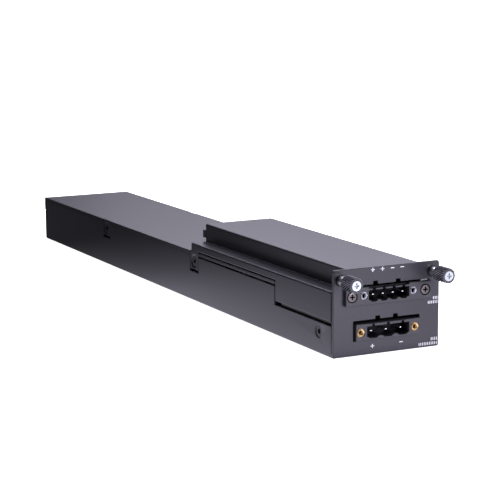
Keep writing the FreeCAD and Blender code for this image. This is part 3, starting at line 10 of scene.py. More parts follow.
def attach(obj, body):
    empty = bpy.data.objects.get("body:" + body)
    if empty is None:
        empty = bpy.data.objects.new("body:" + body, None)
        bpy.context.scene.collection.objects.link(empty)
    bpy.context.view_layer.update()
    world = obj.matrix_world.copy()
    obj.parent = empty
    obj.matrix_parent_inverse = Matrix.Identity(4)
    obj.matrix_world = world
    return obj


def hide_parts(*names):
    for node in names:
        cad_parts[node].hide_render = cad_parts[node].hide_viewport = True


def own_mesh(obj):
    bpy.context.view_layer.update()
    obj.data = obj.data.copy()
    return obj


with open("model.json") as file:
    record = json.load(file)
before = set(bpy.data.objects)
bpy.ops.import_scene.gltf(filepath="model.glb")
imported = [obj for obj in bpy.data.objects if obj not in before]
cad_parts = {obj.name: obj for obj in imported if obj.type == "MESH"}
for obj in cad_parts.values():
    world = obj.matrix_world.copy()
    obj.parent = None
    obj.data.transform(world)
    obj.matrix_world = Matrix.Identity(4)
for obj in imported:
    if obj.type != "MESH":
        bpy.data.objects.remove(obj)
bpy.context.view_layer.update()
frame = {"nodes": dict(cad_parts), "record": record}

bl_info = {
    "name": "Power Supply Module",
    "version": (1, 0, 0),
    "blender": (4, 5, 0),
    "location": "View3D > Sidebar > Module",
    "description": "Finishes a plug-in power supply module round its packed solids",
    "category": "Object",
}

MM = 0.001

# Places in the shared frame, in millimetres: x to the right, y to the rear, z up
PANEL_FACE = -173.6
THUMB_OUT = 23.6
THUMB_UP = 34.7
CASE_HALF = 27.35
CASE_REAR = 185.3
SIDE_SCREW = (-160.4, 10.0)
TAB_SCREWS = ((-31.3, 20.6), (85.4, 20.6))
FLAP_SCREW = (21.0, 21.1)
FLANGE_FACE = -175.6
FLANGE_SCREW = (18.85, 27.2)
UPPER_INSERT = (12.7, 27.3)
LOWER_FACE = -175.1
LOWER_INSERT = (14.0, 10.65)
INPUT_CHOKE = (8.0, -148.6, 0.0)
OUTPUT_CHOKE = (-8.0, 102.4, 0.0)

# Turns of wire on the two ring cores
INPUT_TURNS = 60
OUTPUT_TURNS = 72

# Seam between the tray's walls and the low cover, and the lower edges of the front cover
WALL_TOP = 23.9
SEAM_FRONT = -118.8
SEAM_REAR = -36.3
SEAM_GAP = 0.8
COVER_LOWS = (25.9, 16.0)
LIP_ROUND = 0.5

# Angles of flat, smooth and sharp edges, and distances within which places are the same
FLAT = math.radians(0.5)
SMOOTH = math.radians(35)
SHARP = math.radians(50)
SAME = 0.001
SNAP = 0.01

# Sheet thickness, and sizes of the countersunk and flange screws and their recesses
SHEET = 1.5
SCREW_RADIUS = 1.5
FLAT_HEAD = 2.75
FLAT_LENGTH = 5.0
HEAD_SINK = 0.4
SOCKET = 1.3
FLANGE_SHANK = 1.25
FLANGE_HEAD = 2.2
FLANGE_HEAD_HEIGHT = 1.1
FLANGE_LENGTH = 3.5
DRIVE = (1.3, 0.325)
DRIVE_FLOOR = (0.8, 0.2)
DRIVE_DEPTH = 0.8

# Sizes of the threaded inserts
INSERT_BORE = 1.05
INSERT_NECK = 0.2
INSERT_LENGTH = 6.0
INSERT_THREAD = (-5.6, -0.8)
INSERT_RIDGE = 0.12
UPPER_INSERT_RADIUS = 1.65
LOWER_INSERT_RADIUS = 1.9

# Captive thumbscrew: radii, and heights in millimetres before the panel's face
KNOB_BACK = 4.9
KNOB_FRONT = 13.7
KNOB_FLOOR = 11.5
HEAD_SEAT = 12.4
COLLAR = 0.45
KNURL_VALLEY = 3.05
KNURL_CREST = 3.5
CHAMFER = 3.3
KNOB_FACE = 2.95
KNOB_BORE = 2.65
KNOB_RECESS = 2.4
SCREW_HOLE = 1.1
HEAD_RADIUS = 2.35
SHANK_RADIUS = 1.05
FERRULE_RADIUS = 2.4
FERRULE_BORE = 1.95
FERRULE_HOLE = 1.25
FERRULE_RIM = 2.8
FERRULE_BACK = -2.1
FERRULE_FRONT = 7.0
SPRING_SEAT = -0.5
COIL_RADIUS = 1.5
WIRE_RADIUS = 0.22
THREAD_END = -6.3
THREAD_START = -3.1
THREAD_CREST = 1.5
THREAD_ROOT = 1.24
THREAD_SHARE = 0.42

# Distances from a knob's axis, or from its middle height, over which its painted shade and painted light
# change
GROOVE_TONE = (3.3, 3.44)
FACE_TONE = (2.5, 2.6)
PAINTED_LIGHT_BAND = 1.5

# Depth behind a face at which the shadow in a hollow starts
SHADOW_START = 0.1

# Local z points out of the panel after this turn
TO_FRONT = Matrix.Rotation(math.radians(90), 4, "X")
SIDES = {"left": -1, "right": 1}

# Points in a ring
ROUND = 48


# Colours
def linear(code):
    """A colour code such as #5e5c66 as linear red, green and blue."""
    parts = [int(code[i:i + 2], 16) / 255 for i in (1, 3, 5)]
    return tuple(p / 12.92 if p <= 0.04045 else ((p + 0.055) / 1.055) ** 2.4 for p in parts)


def shade(colour, factor):
    """A linear colour made darker or lighter, with its alpha."""
    return tuple(min(1.0, c * factor) for c in colour[:3]) + (1.0,)


class ModuleSizes(bpy.types.PropertyGroup):
    """Sizes of the finish that a user may change."""

    sheet_round: FloatProperty(
        name="Sheet edge", description="Rounding of the cut sheet edges",
        default=0.22 * MM, min=0.0, precision=5, subtype="DISTANCE", unit="LENGTH")
    mould_round: FloatProperty(
        name="Moulded edge", description="Rounding of the plastic edges",
        default=0.25 * MM, min=0.0, precision=5, subtype="DISTANCE", unit="LENGTH")
    knurl_ridges: IntProperty(
        name="Knurl ridges", description="Ridges round each knob", default=20, min=8, max=60)
    knurl_angle: FloatProperty(
        name="Knurl angle", description="Slant of the ridges", default=math.radians(30),
        subtype="ANGLE", unit="ROTATION")
    thread_pitch: FloatProperty(
        name="Thread pitch", description="Pitch of the screw threads",
        default=0.5 * MM, min=0.1 * MM, precision=5, subtype="DISTANCE", unit="LENGTH")
    spring_turns: IntProperty(
        name="Spring turns", description="Turns of each spring", default=5, min=2, max=12)
    coat_grain: FloatProperty(
        name="Coat grain", description="Size of the powder coat's grain",
        default=0.35 * MM, min=0.05 * MM, precision=5, subtype="DISTANCE", unit="LENGTH")


class ModuleColours(bpy.types.PropertyGroup):
    """Colours of the finish that a user may change."""

    coat: FloatVectorProperty(
        name="Powder coat", description="Colour of the sheet metal",
        default=linear("#2c2a31"), min=0.0, max=1.0, subtype="COLOR")
    plastic: FloatVectorProperty(
        name="Plastic", description="Colour of the moulded headers",
        default=linear("#2e2d33"), min=0.0, max=1.0, subtype="COLOR")
    knob: FloatVectorProperty(
        name="Knobs", description="Colour of the anodised knobs",
        default=linear("#9c9ca4"), min=0.0, max=1.0, subtype="COLOR")
    plating: FloatVectorProperty(
        name="Plating", description="Colour of the bright plated metal",
        default=linear("#e6e8ee"), min=0.0, max=1.0, subtype="COLOR")
    zinc: FloatVectorProperty(
        name="Zinc", description="Colour of the captive screws",
        default=linear("#bcc3c6"), min=0.0, max=1.0, subtype="COLOR")
    brass: FloatVectorProperty(
        name="Brass", description="Colour of the brass inserts",
        default=linear("#e8cc96"), min=0.0, max=1.0, subtype="COLOR")
    screws: FloatVectorProperty(
        name="Flange screws", description="Colour of the passivated screws",
        default=linear("#665f5f"), min=0.0, max=1.0, subtype="COLOR")
    marks: FloatVectorProperty(
        name="Marks", description="Colour of the printed marks",
        default=linear("#e9e9ee"), min=0.0, max=1.0, subtype="COLOR")


# Nodes
def add(tree, kind, inputs=None, stops=(), **settings):
    """Adds a node, sets its options and colour stops, and sets or links its inputs."""
    node = tree.nodes.new(kind)
    for name, value in settings.items():
        setattr(node, name, value)
    while stops and len(node.color_ramp.elements) < len(stops):
        node.color_ramp.elements.new(0.5)
    for i, (place, colour) in enumerate(stops):
        node.color_ramp.elements[i].position = place
        node.color_ramp.elements[i].color = colour
    for name, value in (inputs or {}).items():
        for item in value if isinstance(value, list) else [value]:
            if isinstance(item, bpy.types.NodeSocket):
                tree.links.new(item, node.inputs[name])
            else:
                node.inputs[name].default_value = item
    return node


def blank(name):
    """An empty node material and its tree."""
    material = bpy.data.materials.new(name)
    material.use_nodes = True
    material.node_tree.nodes.clear()
    return material, material.node_tree


def surface(name, colour, rough, grain, bump=0.0, metallic=0.0, contrast=0.25, stretch=(1, 1, 1),
            shadow=None, gloss=0.5, **more):
    """A material whose colour, gloss and relief vary with a fine noise of a given grain in metres.

    A shadow function may give a factor from the object coordinates that paints shade into the colour, and
    into the gloss where the material is not metal.
    """
    material, tree = blank(name)
    place = add(tree, "ShaderNodeTexCoord").outputs["Object"]
    drawn = add(tree, "ShaderNodeMapping", {"Vector": place, "Scale": stretch}).outputs["Vector"]
    noise = add(tree, "ShaderNodeTexNoise", {"Vector": drawn, "Scale": 1 / grain, "Detail": 3.0})
    factor = noise.outputs["Fac"]
    tones = [(0.3, shade(colour, 1 - contrast)), (0.7, shade(colour, 1 + contrast))]
    tone = add(tree, "ShaderNodeValToRGB", {"Fac": factor}, tones).outputs["Color"]
    sheen = add(tree, "ShaderNodeMapRange", {"Value": factor, "To Min": rough[0], "To Max": rough[1]})
    inputs = {}
    if shadow:
        # Painted shade: the shadow factor scales the colour down
        depth = shadow(tree, place)
        tone = add(tree, "ShaderNodeVectorMath", {"Vector": tone, "Scale": depth},
                   operation="SCALE").outputs["Vector"]
        if not metallic:
            shine = add(tree, "ShaderNodeMapRange", {"Value": depth, "To Max": gloss})
            inputs["Specular IOR Level"] = shine.outputs["Result"]
    inputs.update({"Base Color": tone, "Roughness": sheen.outputs["Result"], "Metallic": metallic})
    if bump:
        relief = add(tree, "ShaderNodeBump", {"Height": factor, "Strength": bump, "Distance": grain / 4})
        inputs["Normal"] = relief.outputs["Normal"]
    inputs.update(more)
    shader = add(tree, "ShaderNodeBsdfPrincipled", inputs)
    add(tree, "ShaderNodeOutputMaterial", {"Surface": shader.outputs["BSDF"]})
    return material


def sunk(face, depth, left):
    """A shadow that deepens behind a front face in millimetres, down to what is left of the colour."""

    def factor(tree, place):
        back = add(tree, "ShaderNodeSeparateXYZ", {"Vector": place}).outputs["Y"]
        fade = add(tree, "ShaderNodeMapRange", {
            "Value": back, "From Min": (face + SHADOW_START) * MM, "From Max": (face + depth) * MM,
            "To Min": 1.0, "To Max": left})
        return fade.outputs["Result"]

    return factor


def both(first, second):
    """Two shadows over each other."""

    def factor(tree, place):
        shadows = {0: first(tree, place), 1: second(tree, place)}
        return add(tree, "ShaderNodeMath", shadows, operation="MULTIPLY").outputs["Value"]

    return factor


def grooved(tree, place):
    """A shadow in the knurl and on the front face of both knobs, by the distance from the nearer axis.

    Painted light from above makes the upper ridges paler and the lower ones darker.
    """
    parts = add(tree, "ShaderNodeSeparateXYZ", {"Vector": place}).outputs
    aside = add(tree, "ShaderNodeMath", {0: parts["X"]}, operation="ABSOLUTE").outputs["Value"]
    across = add(tree, "ShaderNodeCombineXYZ", {"X": aside, "Z": parts["Z"]}).outputs["Vector"]
    axis = (THUMB_OUT * MM, 0.0, THUMB_UP * MM)
    reach = add(tree, "ShaderNodeVectorMath", {0: across, 1: axis}, operation="DISTANCE").outputs["Value"]
    groove = add(tree, "ShaderNodeMapRange", {
        "Value": reach, "From Min": GROOVE_TONE[0] * MM, "From Max": GROOVE_TONE[1] * MM,
        "To Min": 0.02, "To Max": 0.6}).outputs["Result"]
    face = add(tree, "ShaderNodeMapRange", {
        "Value": reach, "From Min": FACE_TONE[0] * MM, "From Max": FACE_TONE[1] * MM,
        "To Min": 0.02, "To Max": 0.3}).outputs["Result"]
    # Painted light: paler on the upper side of the knob and darker on the lower side
    painted_top_light = add(tree, "ShaderNodeMapRange", {
        "Value": parts["Z"], "From Min": (THUMB_UP - PAINTED_LIGHT_BAND) * MM, "From Max": (THUMB_UP + PAINTED_LIGHT_BAND) * MM,
        "To Min": 0.75, "To Max": 1.8}).outputs["Result"]
    front = (PANEL_FACE - KNOB_FRONT + COLLAR) * MM
    ahead = add(tree, "ShaderNodeMath", {0: parts["Y"], 1: front}, operation="LESS_THAN").outputs["Value"]
    rim = add(tree, "ShaderNodeMath", {0: ahead, 1: face}, operation="MULTIPLY").outputs["Value"]
    ridge = add(tree, "ShaderNodeMath", {0: groove, 1: painted_top_light}, operation="MULTIPLY").outputs["Value"]
    return add(tree, "ShaderNodeMath", {0: ridge, 1: rim}, operation="MAXIMUM").outputs["Value"]


def winding(name, colour, centre, turns):
    """Enamelled wire laid round a ring core: glossy ridges that fan out from the core's axis."""
    material, tree = blank(name)
    place = add(tree, "ShaderNodeTexCoord").outputs["Object"]
    moved = add(tree, "ShaderNodeMapping", {"Vector": place, "Location": tuple(-c * MM for c in centre)})
    angle = add(tree, "ShaderNodeTexGradient", {"Vector": moved.outputs["Vector"]}, gradient_type="RADIAL")
    fan = {0: angle.outputs["Fac"], 1: 2 * math.pi * turns}
    phase = add(tree, "ShaderNodeMath", fan, operation="MULTIPLY")
    wave = add(tree, "ShaderNodeMath", {0: phase.outputs["Value"]}, operation="COSINE")
    ridge = add(tree, "ShaderNodeMapRange", {"Value": wave.outputs["Value"], "To Min": 0.5, "To Max": 1.0})
    factor = ridge.outputs["Result"]
    relief = add(tree, "ShaderNodeBump", {"Height": factor, "Strength": 0.8, "Distance": 0.3 * MM})
    # Painted shade: the wire is darker between the turns
    tones = [(0.2, shade(colour, 0.35)), (0.8, shade(colour, 1.0))]
    tone = add(tree, "ShaderNodeValToRGB", {"Fac": factor}, tones)
    shader = add(tree, "ShaderNodeBsdfPrincipled", {
        "Base Color": tone.outputs["Color"], "Roughness": 0.3, "Metallic": 1.0,
        "Normal": relief.outputs["Normal"]})
    add(tree, "ShaderNodeOutputMaterial", {"Surface": shader.outputs["BSDF"]})
    return material


def laminate(name, colour):
    """Solder-masked board: green gloss with slightly raised, paler tracks."""
    material, tree = blank(name)
    place = add(tree, "ShaderNodeTexCoord").outputs["Object"]
    cells = add(tree, "ShaderNodeTexVoronoi", {"Vector": place, "Scale": 1 / (6 * MM), "Randomness": 0.8},
                distance="CHEBYCHEV", feature="DISTANCE_TO_EDGE")
    edges = [(0.06, (1, 1, 1, 1)), (0.09, (0, 0, 0, 1))]
    factor = add(tree, "ShaderNodeValToRGB", {"Fac": cells.outputs["Distance"]}, edges).outputs["Color"]
    relief = add(tree, "ShaderNodeBump", {"Height": factor, "Strength": 0.3, "Distance": 0.05 * MM})
    tones = [(0.0, shade(colour, 0.7)), (1.0, shade(colour, 1.7))]
    tone = add(tree, "ShaderNodeValToRGB", {"Fac": factor}, tones)
    shader = add(tree, "ShaderNodeBsdfPrincipled", {
        "Base Color": tone.outputs["Color"], "Roughness": 0.3, "Normal": relief.outputs["Normal"]})
    add(tree, "ShaderNodeOutputMaterial", {"Surface": shader.outputs["BSDF"]})
    return material


def make_finishes():
    """The materials of the module, by the record's slot names."""
    sizes = bpy.context.scene.module_sizes
    colours = bpy.context.scene.module_colours
    grain = sizes.coat_grain
    return {
        # Satin black powder coat: a soft sheen broken up by a fine orange-peel grain
        "black_powder_coat": surface("Satin_black_powder_coat", colours.coat, (0.28, 0.36), grain, bump=0.1),
        # Blackened steel: darker and a little glossier than the coat round it
        "black_steel": surface("Blackened_steel", linear("#2a282d"), (0.32, 0.45), 0.5 * MM, bump=0.05),
        # Bright nickel on the ferrules: softly shining by the knob, with painted shade towards the panel in
        # place of the panel's dark reflection
        "nickel_plate": surface("Bright_nickel_plate", colours.plating, (0.26, 0.34), 0.8 * MM, metallic=0.9,
                                contrast=0.06, shadow=sunk(PANEL_FACE - KNOB_BACK + 1.4, 3.2, 0.15)),
        # Bright zinc: bluish white metal, hazy from turning, with painted shade in the cross recess and on
        # the thread behind the panel
        "bright_steel": surface("Bright_zinc_plate", colours.zinc, (0.34, 0.44), 0.3 * MM, metallic=1.0,
                                contrast=0.08, shadow=both(sunk(PANEL_FACE - KNOB_FRONT, 0.8, 0.75),
                                                           sunk(PANEL_FACE, 1.0, 0.06))),
        # Black anodised aluminium: painted shade in the grooves between satin grey crests, and painted light
        # on the upper side
        "black_anodised": surface("Black_anodised_aluminium", colours.knob, (0.5, 0.62), 0.4 * MM, bump=0.04,
                                  shadow=grooved, gloss=0.15),
        # Drawn spring wire: smooth grey steel, a little uneven in tone
        "spring_steel": surface("Drawn_spring_wire", linear("#b8b9bf"), (0.25, 0.38), 0.2 * MM, metallic=1.0),
        # Moulded glass-filled nylon: even dark grey, slightly mottled satin
        "black_polyamide": surface("Moulded_black_nylon", colours.plastic, (0.42, 0.52), 0.5 * MM, bump=0.06,
                                   contrast=0.15),
        # The same nylon on the terminal headers, with painted shade in the depth of the sockets
        "sockets": surface("Moulded_black_nylon_header", colours.plastic, (0.42, 0.52), 0.5 * MM, bump=0.06,
                           contrast=0.15, shadow=sunk(LOWER_FACE + 0.6, 3.0, 0.25)),
        # Tin plate: soft bright metal on the pins
        "tinned_pins": surface("Tin_plate", linear("#dcdcda"), (0.22, 0.35), 0.4 * MM, metallic=1.0,
                               contrast=0.08),
        # Turned brass: warm yellow metal, with painted shade in the bore
        "brass_inserts": surface("Turned_brass", colours.brass, (0.36, 0.48), 0.3 * MM, metallic=1.0,
                                 contrast=0.1, shadow=sunk(LOWER_FACE + 0.6, 1.4, 0.3)),
        # Nickel in the upper inserts: bright rim, with painted shade in the bore
        "nickel_inserts": surface("Nickel_plated_insert", colours.plating, (0.38, 0.48), 0.3 * MM,
                                  metallic=1.0, contrast=0.06, shadow=sunk(FLANGE_FACE + 0.6, 0.8, 0.01)),
        # Passivated zinc: pinkish grey metal, uneven in tone
        "zinc_screws": surface("Passivated_zinc_plate", colours.screws, (0.24, 0.4), 0.7 * MM, metallic=1.0,
                               contrast=0.14),
        # The same zinc on the flange screws, with painted shade in the cross recess
        "flange_screws": surface("Passivated_zinc_screw", colours.screws, (0.3, 0.45), 0.7 * MM, metallic=1.0,
                                 contrast=0.14, shadow=sunk(FLANGE_FACE, 0.4, 0.01)),
        # Solder mask: green gloss over paler tracks
        "circuit_board": laminate("Green_solder_mask", linear("#1d6b3a")),
        # Nickelled brass posts: pale warm metal
        "brass_posts": surface("Nickelled_brass", linear("#d6c79c"), (0.25, 0.4), 0.5 * MM, metallic=1.0,
                               contrast=0.08),
        # Polyester film: milky and slightly see-through
        "clear_film": surface("Polyester_film", linear("#dcdad0"), (0.2, 0.35), 2 * MM, contrast=0.06,
                              Alpha=0.6),
        # Fuse: pale ceramic body with a smooth glaze
        "fuse_glass": surface("Glazed_ceramic", linear("#d8d5c8"), (0.15, 0.25), 1.5 * MM, contrast=0.06),
        # Sintered ferrite: matt charcoal with speckle
        "ferrite": surface("Sintered_ferrite", linear("#3b3b3d"), (0.6, 0.75), 0.3 * MM, bump=0.1),
        # Enamelled copper: glossy reddish wire laid turn by turn
        "copper_wire": winding("Enamelled_copper_wire", linear("#c06a35"), INPUT_CHOKE, INPUT_TURNS),
        # Capacitor sleeve: dark blue shrink film, shiny
        "capacitor_can": surface("Shrink_sleeve", linear("#20284a"), (0.22, 0.3), 3 * MM, contrast=0.1),
        # Film capacitor box: matt yellow case
        "capacitor_box": surface("Potted_plastic_box", linear("#c8a53a"), (0.45, 0.55), 1.0 * MM,
                                 contrast=0.08),
        # Winding tape: yellow polyester tape in layers across the coil
        "winding_tape": surface("Polyester_winding_tape", linear("#d9b640"), (0.25, 0.4), 3 * MM,
                                contrast=0.15, stretch=(0.2, 0.2, 3.0)),
        # Bare aluminium extrusion: streaks along the length
        "bare_aluminium": surface("Extruded_aluminium", linear("#c9cbce"), (0.3, 0.42), 0.6 * MM,
                                  metallic=1.0, contrast=0.08, stretch=(1.0, 0.05, 1.0)),
        # Moulding epoxy: flat black with a fine pitted skin
        "black_epoxy": surface("Moulding_epoxy", linear("#232325"), (0.5, 0.65), 0.25 * MM, bump=0.1),
        # Silicone pad: soft matt grey
        "grey_silicone": surface("Silicone_pad", linear("#8d9093"), (0.7, 0.85), 0.6 * MM, contrast=0.1),
        # Gold flash: thin, bright, warm yellow metal on the rear contacts
        "gold_contacts": surface("Gold_flash", linear("#e3bd62"), (0.18, 0.28), 0.5 * MM, metallic=1.0,
                                 contrast=0.08),
        # Screen-printed white ink: flat, a little uneven at the grain of the coat
        "marks": surface("White_screen_print", colours.marks, (0.5, 0.6), grain, contrast=0.05),
    }


def finish(slot):
    """The material of a slot. All of them are made at the first call."""
    if not finishes:
        finishes.update(make_finishes())
    return finishes[slot]


finishes = {}


# Meshes
def mesh_of(shape):
    """A new mesh from an edited shape, smooth except at sharp edges."""
    mesh = bpy.data.meshes.new("shape")
    shape.to_mesh(mesh)
    shape.free()
    mesh.shade_smooth()
    mesh.set_sharp_from_angle(angle=SMOOTH)
    return mesh


def ring(reach, height):
    """Points round local z at a height. The reach is one radius, or a function of the angle."""
    points = []
    for i in range(ROUND):
        angle = 2 * math.pi * i / ROUND
        radius = reach(angle) if callable(reach) else reach
        points.append(Vector((radius * math.cos(angle), radius * math.sin(angle), height)) * MM)
    return points


def loft(profile, closed=False):
    """A mesh over rings of a reach and a height, capped at both ends or closed back to the first."""
    shape = bmesh.new()
    loops = [[shape.verts.new(point) for point in ring(*place)] for place in profile]
    pairs = list(zip(loops, loops[1:] + loops[:1]))
    for low, high in pairs if closed else pairs[:-1]:
        for i in range(ROUND):
            j = (i + 1) % ROUND
            shape.faces.new((low[i], low[j], high[j], high[i]))
    if not closed:
        shape.faces.new(loops[0])
        shape.faces.new(loops[-1])
    bmesh.ops.recalc_face_normals(shape, faces=shape.faces)
    return mesh_of(shape)


def hexagon(corner):
    """The reach of a hexagon with a corner at angle 0."""
    flat = corner * math.cos(math.radians(30))

    def reach(angle):
        return flat / math.cos((angle % math.radians(60)) - math.radians(30))

    return reach


def cross(arm, half_width):
    """The reach of a cross recess with an arm at angle 0."""
    quarter = math.pi / 2

    def reach(angle):
        off = (angle + quarter / 2) % quarter - quarter / 2
        along = arm / math.cos(off)
        return min(along, half_width / max(abs(math.sin(off)), 1e-6))

    return reach


def joined(meshes):
    """Several meshes as one."""
    shape = bmesh.new()
    for mesh in meshes:
        shape.from_mesh(mesh)
        bpy.data.meshes.remove(mesh)
    return mesh_of(shape)


def baked(maker, name):
    """The plain mesh of an object with its modifiers. The object is removed."""
    graph = bpy.context.evaluated_depsgraph_get()
    mesh = bpy.data.meshes.new_from_object(maker.evaluated_get(graph), depsgraph=graph)
    mesh.name = name
    base = maker.data
    bpy.data.objects.remove(maker)
    bpy.data.meshes.remove(base)
    return mesh


def link(name, mesh):
    """An object for a mesh, in the scene."""
    thing = bpy.data.objects.new(name, mesh)
    bpy.context.scene.collection.objects.link(thing)
    return thing


def piece(name, mesh, slot, replaced=(), body="module", material=None):
    """Adds a finished mesh as a piece that moves with a body and stands for some solids."""
    mesh.materials.clear()
    mesh.materials.append(material or finish(slot))
    thing = link(name, mesh)
    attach(thing, body)
    if replaced:
        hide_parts(*replaced)
    return thing


def softened(node, width, slot, look=None, change=None, wide=None):
    """A solid's shape with its sharp edges rounded over.

    A change may move some corners first, and wide picks the edges that get the larger rounding.
    """
    shape = bmesh.new()
    shape.from_mesh(frame["nodes"][node].data)
    bmesh.ops.remove_doubles(shape, verts=shape.verts, dist=SAME * MM)
    bmesh.ops.dissolve_limit(shape, angle_limit=FLAT, verts=shape.verts, edges=shape.edges)
    if change:
        change(shape)
    bmesh.ops.connect_verts_concave(shape, faces=shape.faces)
    weight = shape.edges.layers.float.new("bevel_weight_edge")
    for edge in shape.edges:
        if edge.calc_face_angle(0.0) > SHARP:
            edge[weight] = 1.0 if wide and wide(edge) else width / (LIP_ROUND * MM)
    maker = link(node + "_maker", mesh_of(shape))
    bevel = maker.modifiers.new("Edges", "BEVEL")
    bevel.width = LIP_ROUND * MM
    bevel.segments = 2
    bevel.limit_method = "WEIGHT"
    bevel.use_clamp_overlap = False
    bevel.loop_slide = False
    bevel.face_strength_mode = "FSTR_ALL"
    normals = maker.modifiers.new("Normals", "WEIGHTED_NORMAL")
    normals.mode = "FACE_AREA"
    normals.weight = 100
    normals.keep_sharp = True
    normals.use_face_influence = True
    return piece(node + "_finish", baked(maker, node), slot, [node], material=finish(look or slot))


# Geometry node trees
def node_tree(name, sizes):
    """An empty geometry node tree with named inputs, and the node that gives them."""
    tree = bpy.data.node_groups.new(name, "GeometryNodeTree")
    tree.interface.new_socket("Geometry", in_out="OUTPUT", socket_type="NodeSocketGeometry")
    for label, kind in sizes.items():
        tree.interface.new_socket(label, in_out="INPUT", socket_type="NodeSocket" + kind)
    return tree, add(tree, "NodeGroupInput").outputs


def ending(tree, geometry, material):
    """Ends a tree with plain geometry in one material."""
    plain = add(tree, "GeometryNodeRealizeInstances", {"Geometry": geometry})
    coloured = add(tree, "GeometryNodeSetMaterial", {
        "Geometry": plain.outputs["Geometry"], "Material": material})
    add(tree, "NodeGroupOutput", {"Geometry": coloured.outputs["Geometry"]})


def helix_tree():
    """A wire or ridge that winds up local z, repeated round the axis."""
    tree, sizes = node_tree("Helix", {
        "Radius": "Float", "Turns": "Float", "Height": "Float", "Steps": "Int", "Half width": "Float",
        "Half depth": "Float", "Sides": "Int", "Copies": "Int", "Material": "Material"})
    path = add(tree, "GeometryNodeCurveSpiral", {
        "Resolution": sizes["Steps"], "Rotations": sizes["Turns"], "Start Radius": sizes["Radius"],
        "End Radius": sizes["Radius"], "Height": sizes["Height"]})
    upright = add(tree, "GeometryNodeSetCurveNormal", {"Curve": path.outputs["Curve"]}, mode="Z_UP")
    profile = add(tree, "GeometryNodeCurvePrimitiveCircle", {"Resolution": sizes["Sides"], "Radius": 1.0})
    scale = add(tree, "ShaderNodeCombineXYZ", {"X": sizes["Half depth"], "Y": sizes["Half width"], "Z": 1.0})
    sized = add(tree, "GeometryNodeTransform", {
        "Geometry": profile.outputs["Curve"], "Scale": scale.outputs["Vector"]})
    swept = add(tree, "GeometryNodeCurveToMesh", {
        "Curve": upright.outputs["Curve"], "Profile Curve": sized.outputs["Geometry"], "Fill Caps": True})
    points = add(tree, "GeometryNodePoints", {"Count": sizes["Copies"]})
    step = add(tree, "ShaderNodeMath", {0: 2 * math.pi, 1: sizes["Copies"]}, operation="DIVIDE")
    index = add(tree, "GeometryNodeInputIndex").outputs["Index"]
    angle = add(tree, "ShaderNodeMath", {0: index, 1: step.outputs["Value"]}, operation="MULTIPLY")
    turn = add(tree, "ShaderNodeCombineXYZ", {"Z": angle.outputs["Value"]})
    copies = add(tree, "GeometryNodeInstanceOnPoints", {
        "Points": points.outputs["Points"], "Instance": swept.outputs["Mesh"],
        "Rotation": turn.outputs["Vector"]})
    ending(tree, copies.outputs["Instances"], sizes["Material"])
    return tree


def copies_tree():
    """One piece repeated on points, each copy turned to its point's facing."""
    tree, sizes = node_tree("Copies", {"Points": "Geometry", "Piece": "Object", "Material": "Material"})
    source = add(tree, "GeometryNodeObjectInfo", {"Object": sizes["Piece"]}, transform_space="ORIGINAL")
    facing = add(tree, "GeometryNodeInputNamedAttribute", {"Name": "facing"}, data_type="FLOAT_VECTOR")
    turn = add(tree, "FunctionNodeAlignRotationToVector", {"Vector": facing.outputs["Attribute"]}, axis="Z")
    copies = add(tree, "GeometryNodeInstanceOnPoints", {
        "Points": sizes["Points"], "Instance": source.outputs["Geometry"],
        "Rotation": turn.outputs["Rotation"]})
    ending(tree, copies.outputs["Instances"], sizes["Material"])
    return tree


def shared_tree(name, make):
    """A node tree by its name, made when it is first needed."""
    return bpy.data.node_groups.get(name) or make()


def grown(name, tree, values, mesh=None):
    """The plain mesh that a node tree makes with the given inputs."""
    maker = link(name + "_maker", mesh or bpy.data.meshes.new(name + "_base"))
    modifier = maker.modifiers.new("Nodes", "NODES")
    modifier.node_group = tree
    for item in tree.interface.items_tree:
        if item.in_out == "INPUT" and item.name in values:
            modifier[item.identifier] = values[item.name]
    return baked(maker, name)


def helix(name, slot, radius, turns, start, end, half_width, half_depth, steps=24, sides=4, copies=1):
    """A helix between two heights on local z, all in millimetres."""
    mesh = grown(name, shared_tree("Helix", helix_tree), {
        "Radius": radius * MM, "Turns": turns, "Height": (end - start) * MM, "Steps": steps,
        "Half width": half_width * MM, "Half depth": half_depth * MM, "Sides": sides, "Copies": copies,
        "Material": finish(slot)})
    mesh.transform(Matrix.Translation((0, 0, start * MM)))
    return mesh


def copies(name, prototype, places, slot, replaced, look=None):
    """One mesh repeated at places, each a point in millimetres and the way its local z faces."""
    points = bpy.data.meshes.new(name + "_points")
    points.from_pydata([Vector(point) * MM for point, facing in places], [], [])
    facings = points.attributes.new("facing", "FLOAT_VECTOR", "POINT")
    for item, (point, facing) in zip(facings.data, places):
        item.vector = facing
    source = link(name + "_source", prototype)
    material = finish(look or slot)
    mesh = grown(name, shared_tree("Copies", copies_tree), {"Piece": source, "Material": material}, points)
    bpy.data.objects.remove(source)
    return piece(name, mesh, slot, replaced, material=material)


# Case
def open_seam(shape):
    """Lowers the tray's walls a little below the shoulder folds, where the low cover clears them."""
    for corner in shape.verts:
        along = corner.co.y / MM
        up = corner.co.z / MM
        if abs(up - WALL_TOP) < SNAP and SEAM_FRONT - SNAP < along < SEAM_REAR + SNAP:
            corner.co.z -= SEAM_GAP * MM


def lower_lip(edge):
    """True for the outer lower edges of the front cover's folds and skirts."""
    return all(
        abs(abs(corner.co.x) / MM - CASE_HALF) < SNAP
        and min(abs(corner.co.z / MM - low) for low in COVER_LOWS) < SNAP
        for corner in edge.verts)


def case_shells():
    """Folded sheets with softened edges."""
    width = bpy.context.scene.module_sizes.sheet_round
    softened("base_tray", width, "black_powder_coat", change=open_seam)
    softened("low_cover", width, "black_powder_coat")
    softened("front_cover", width, "black_powder_coat", wide=lower_lip)


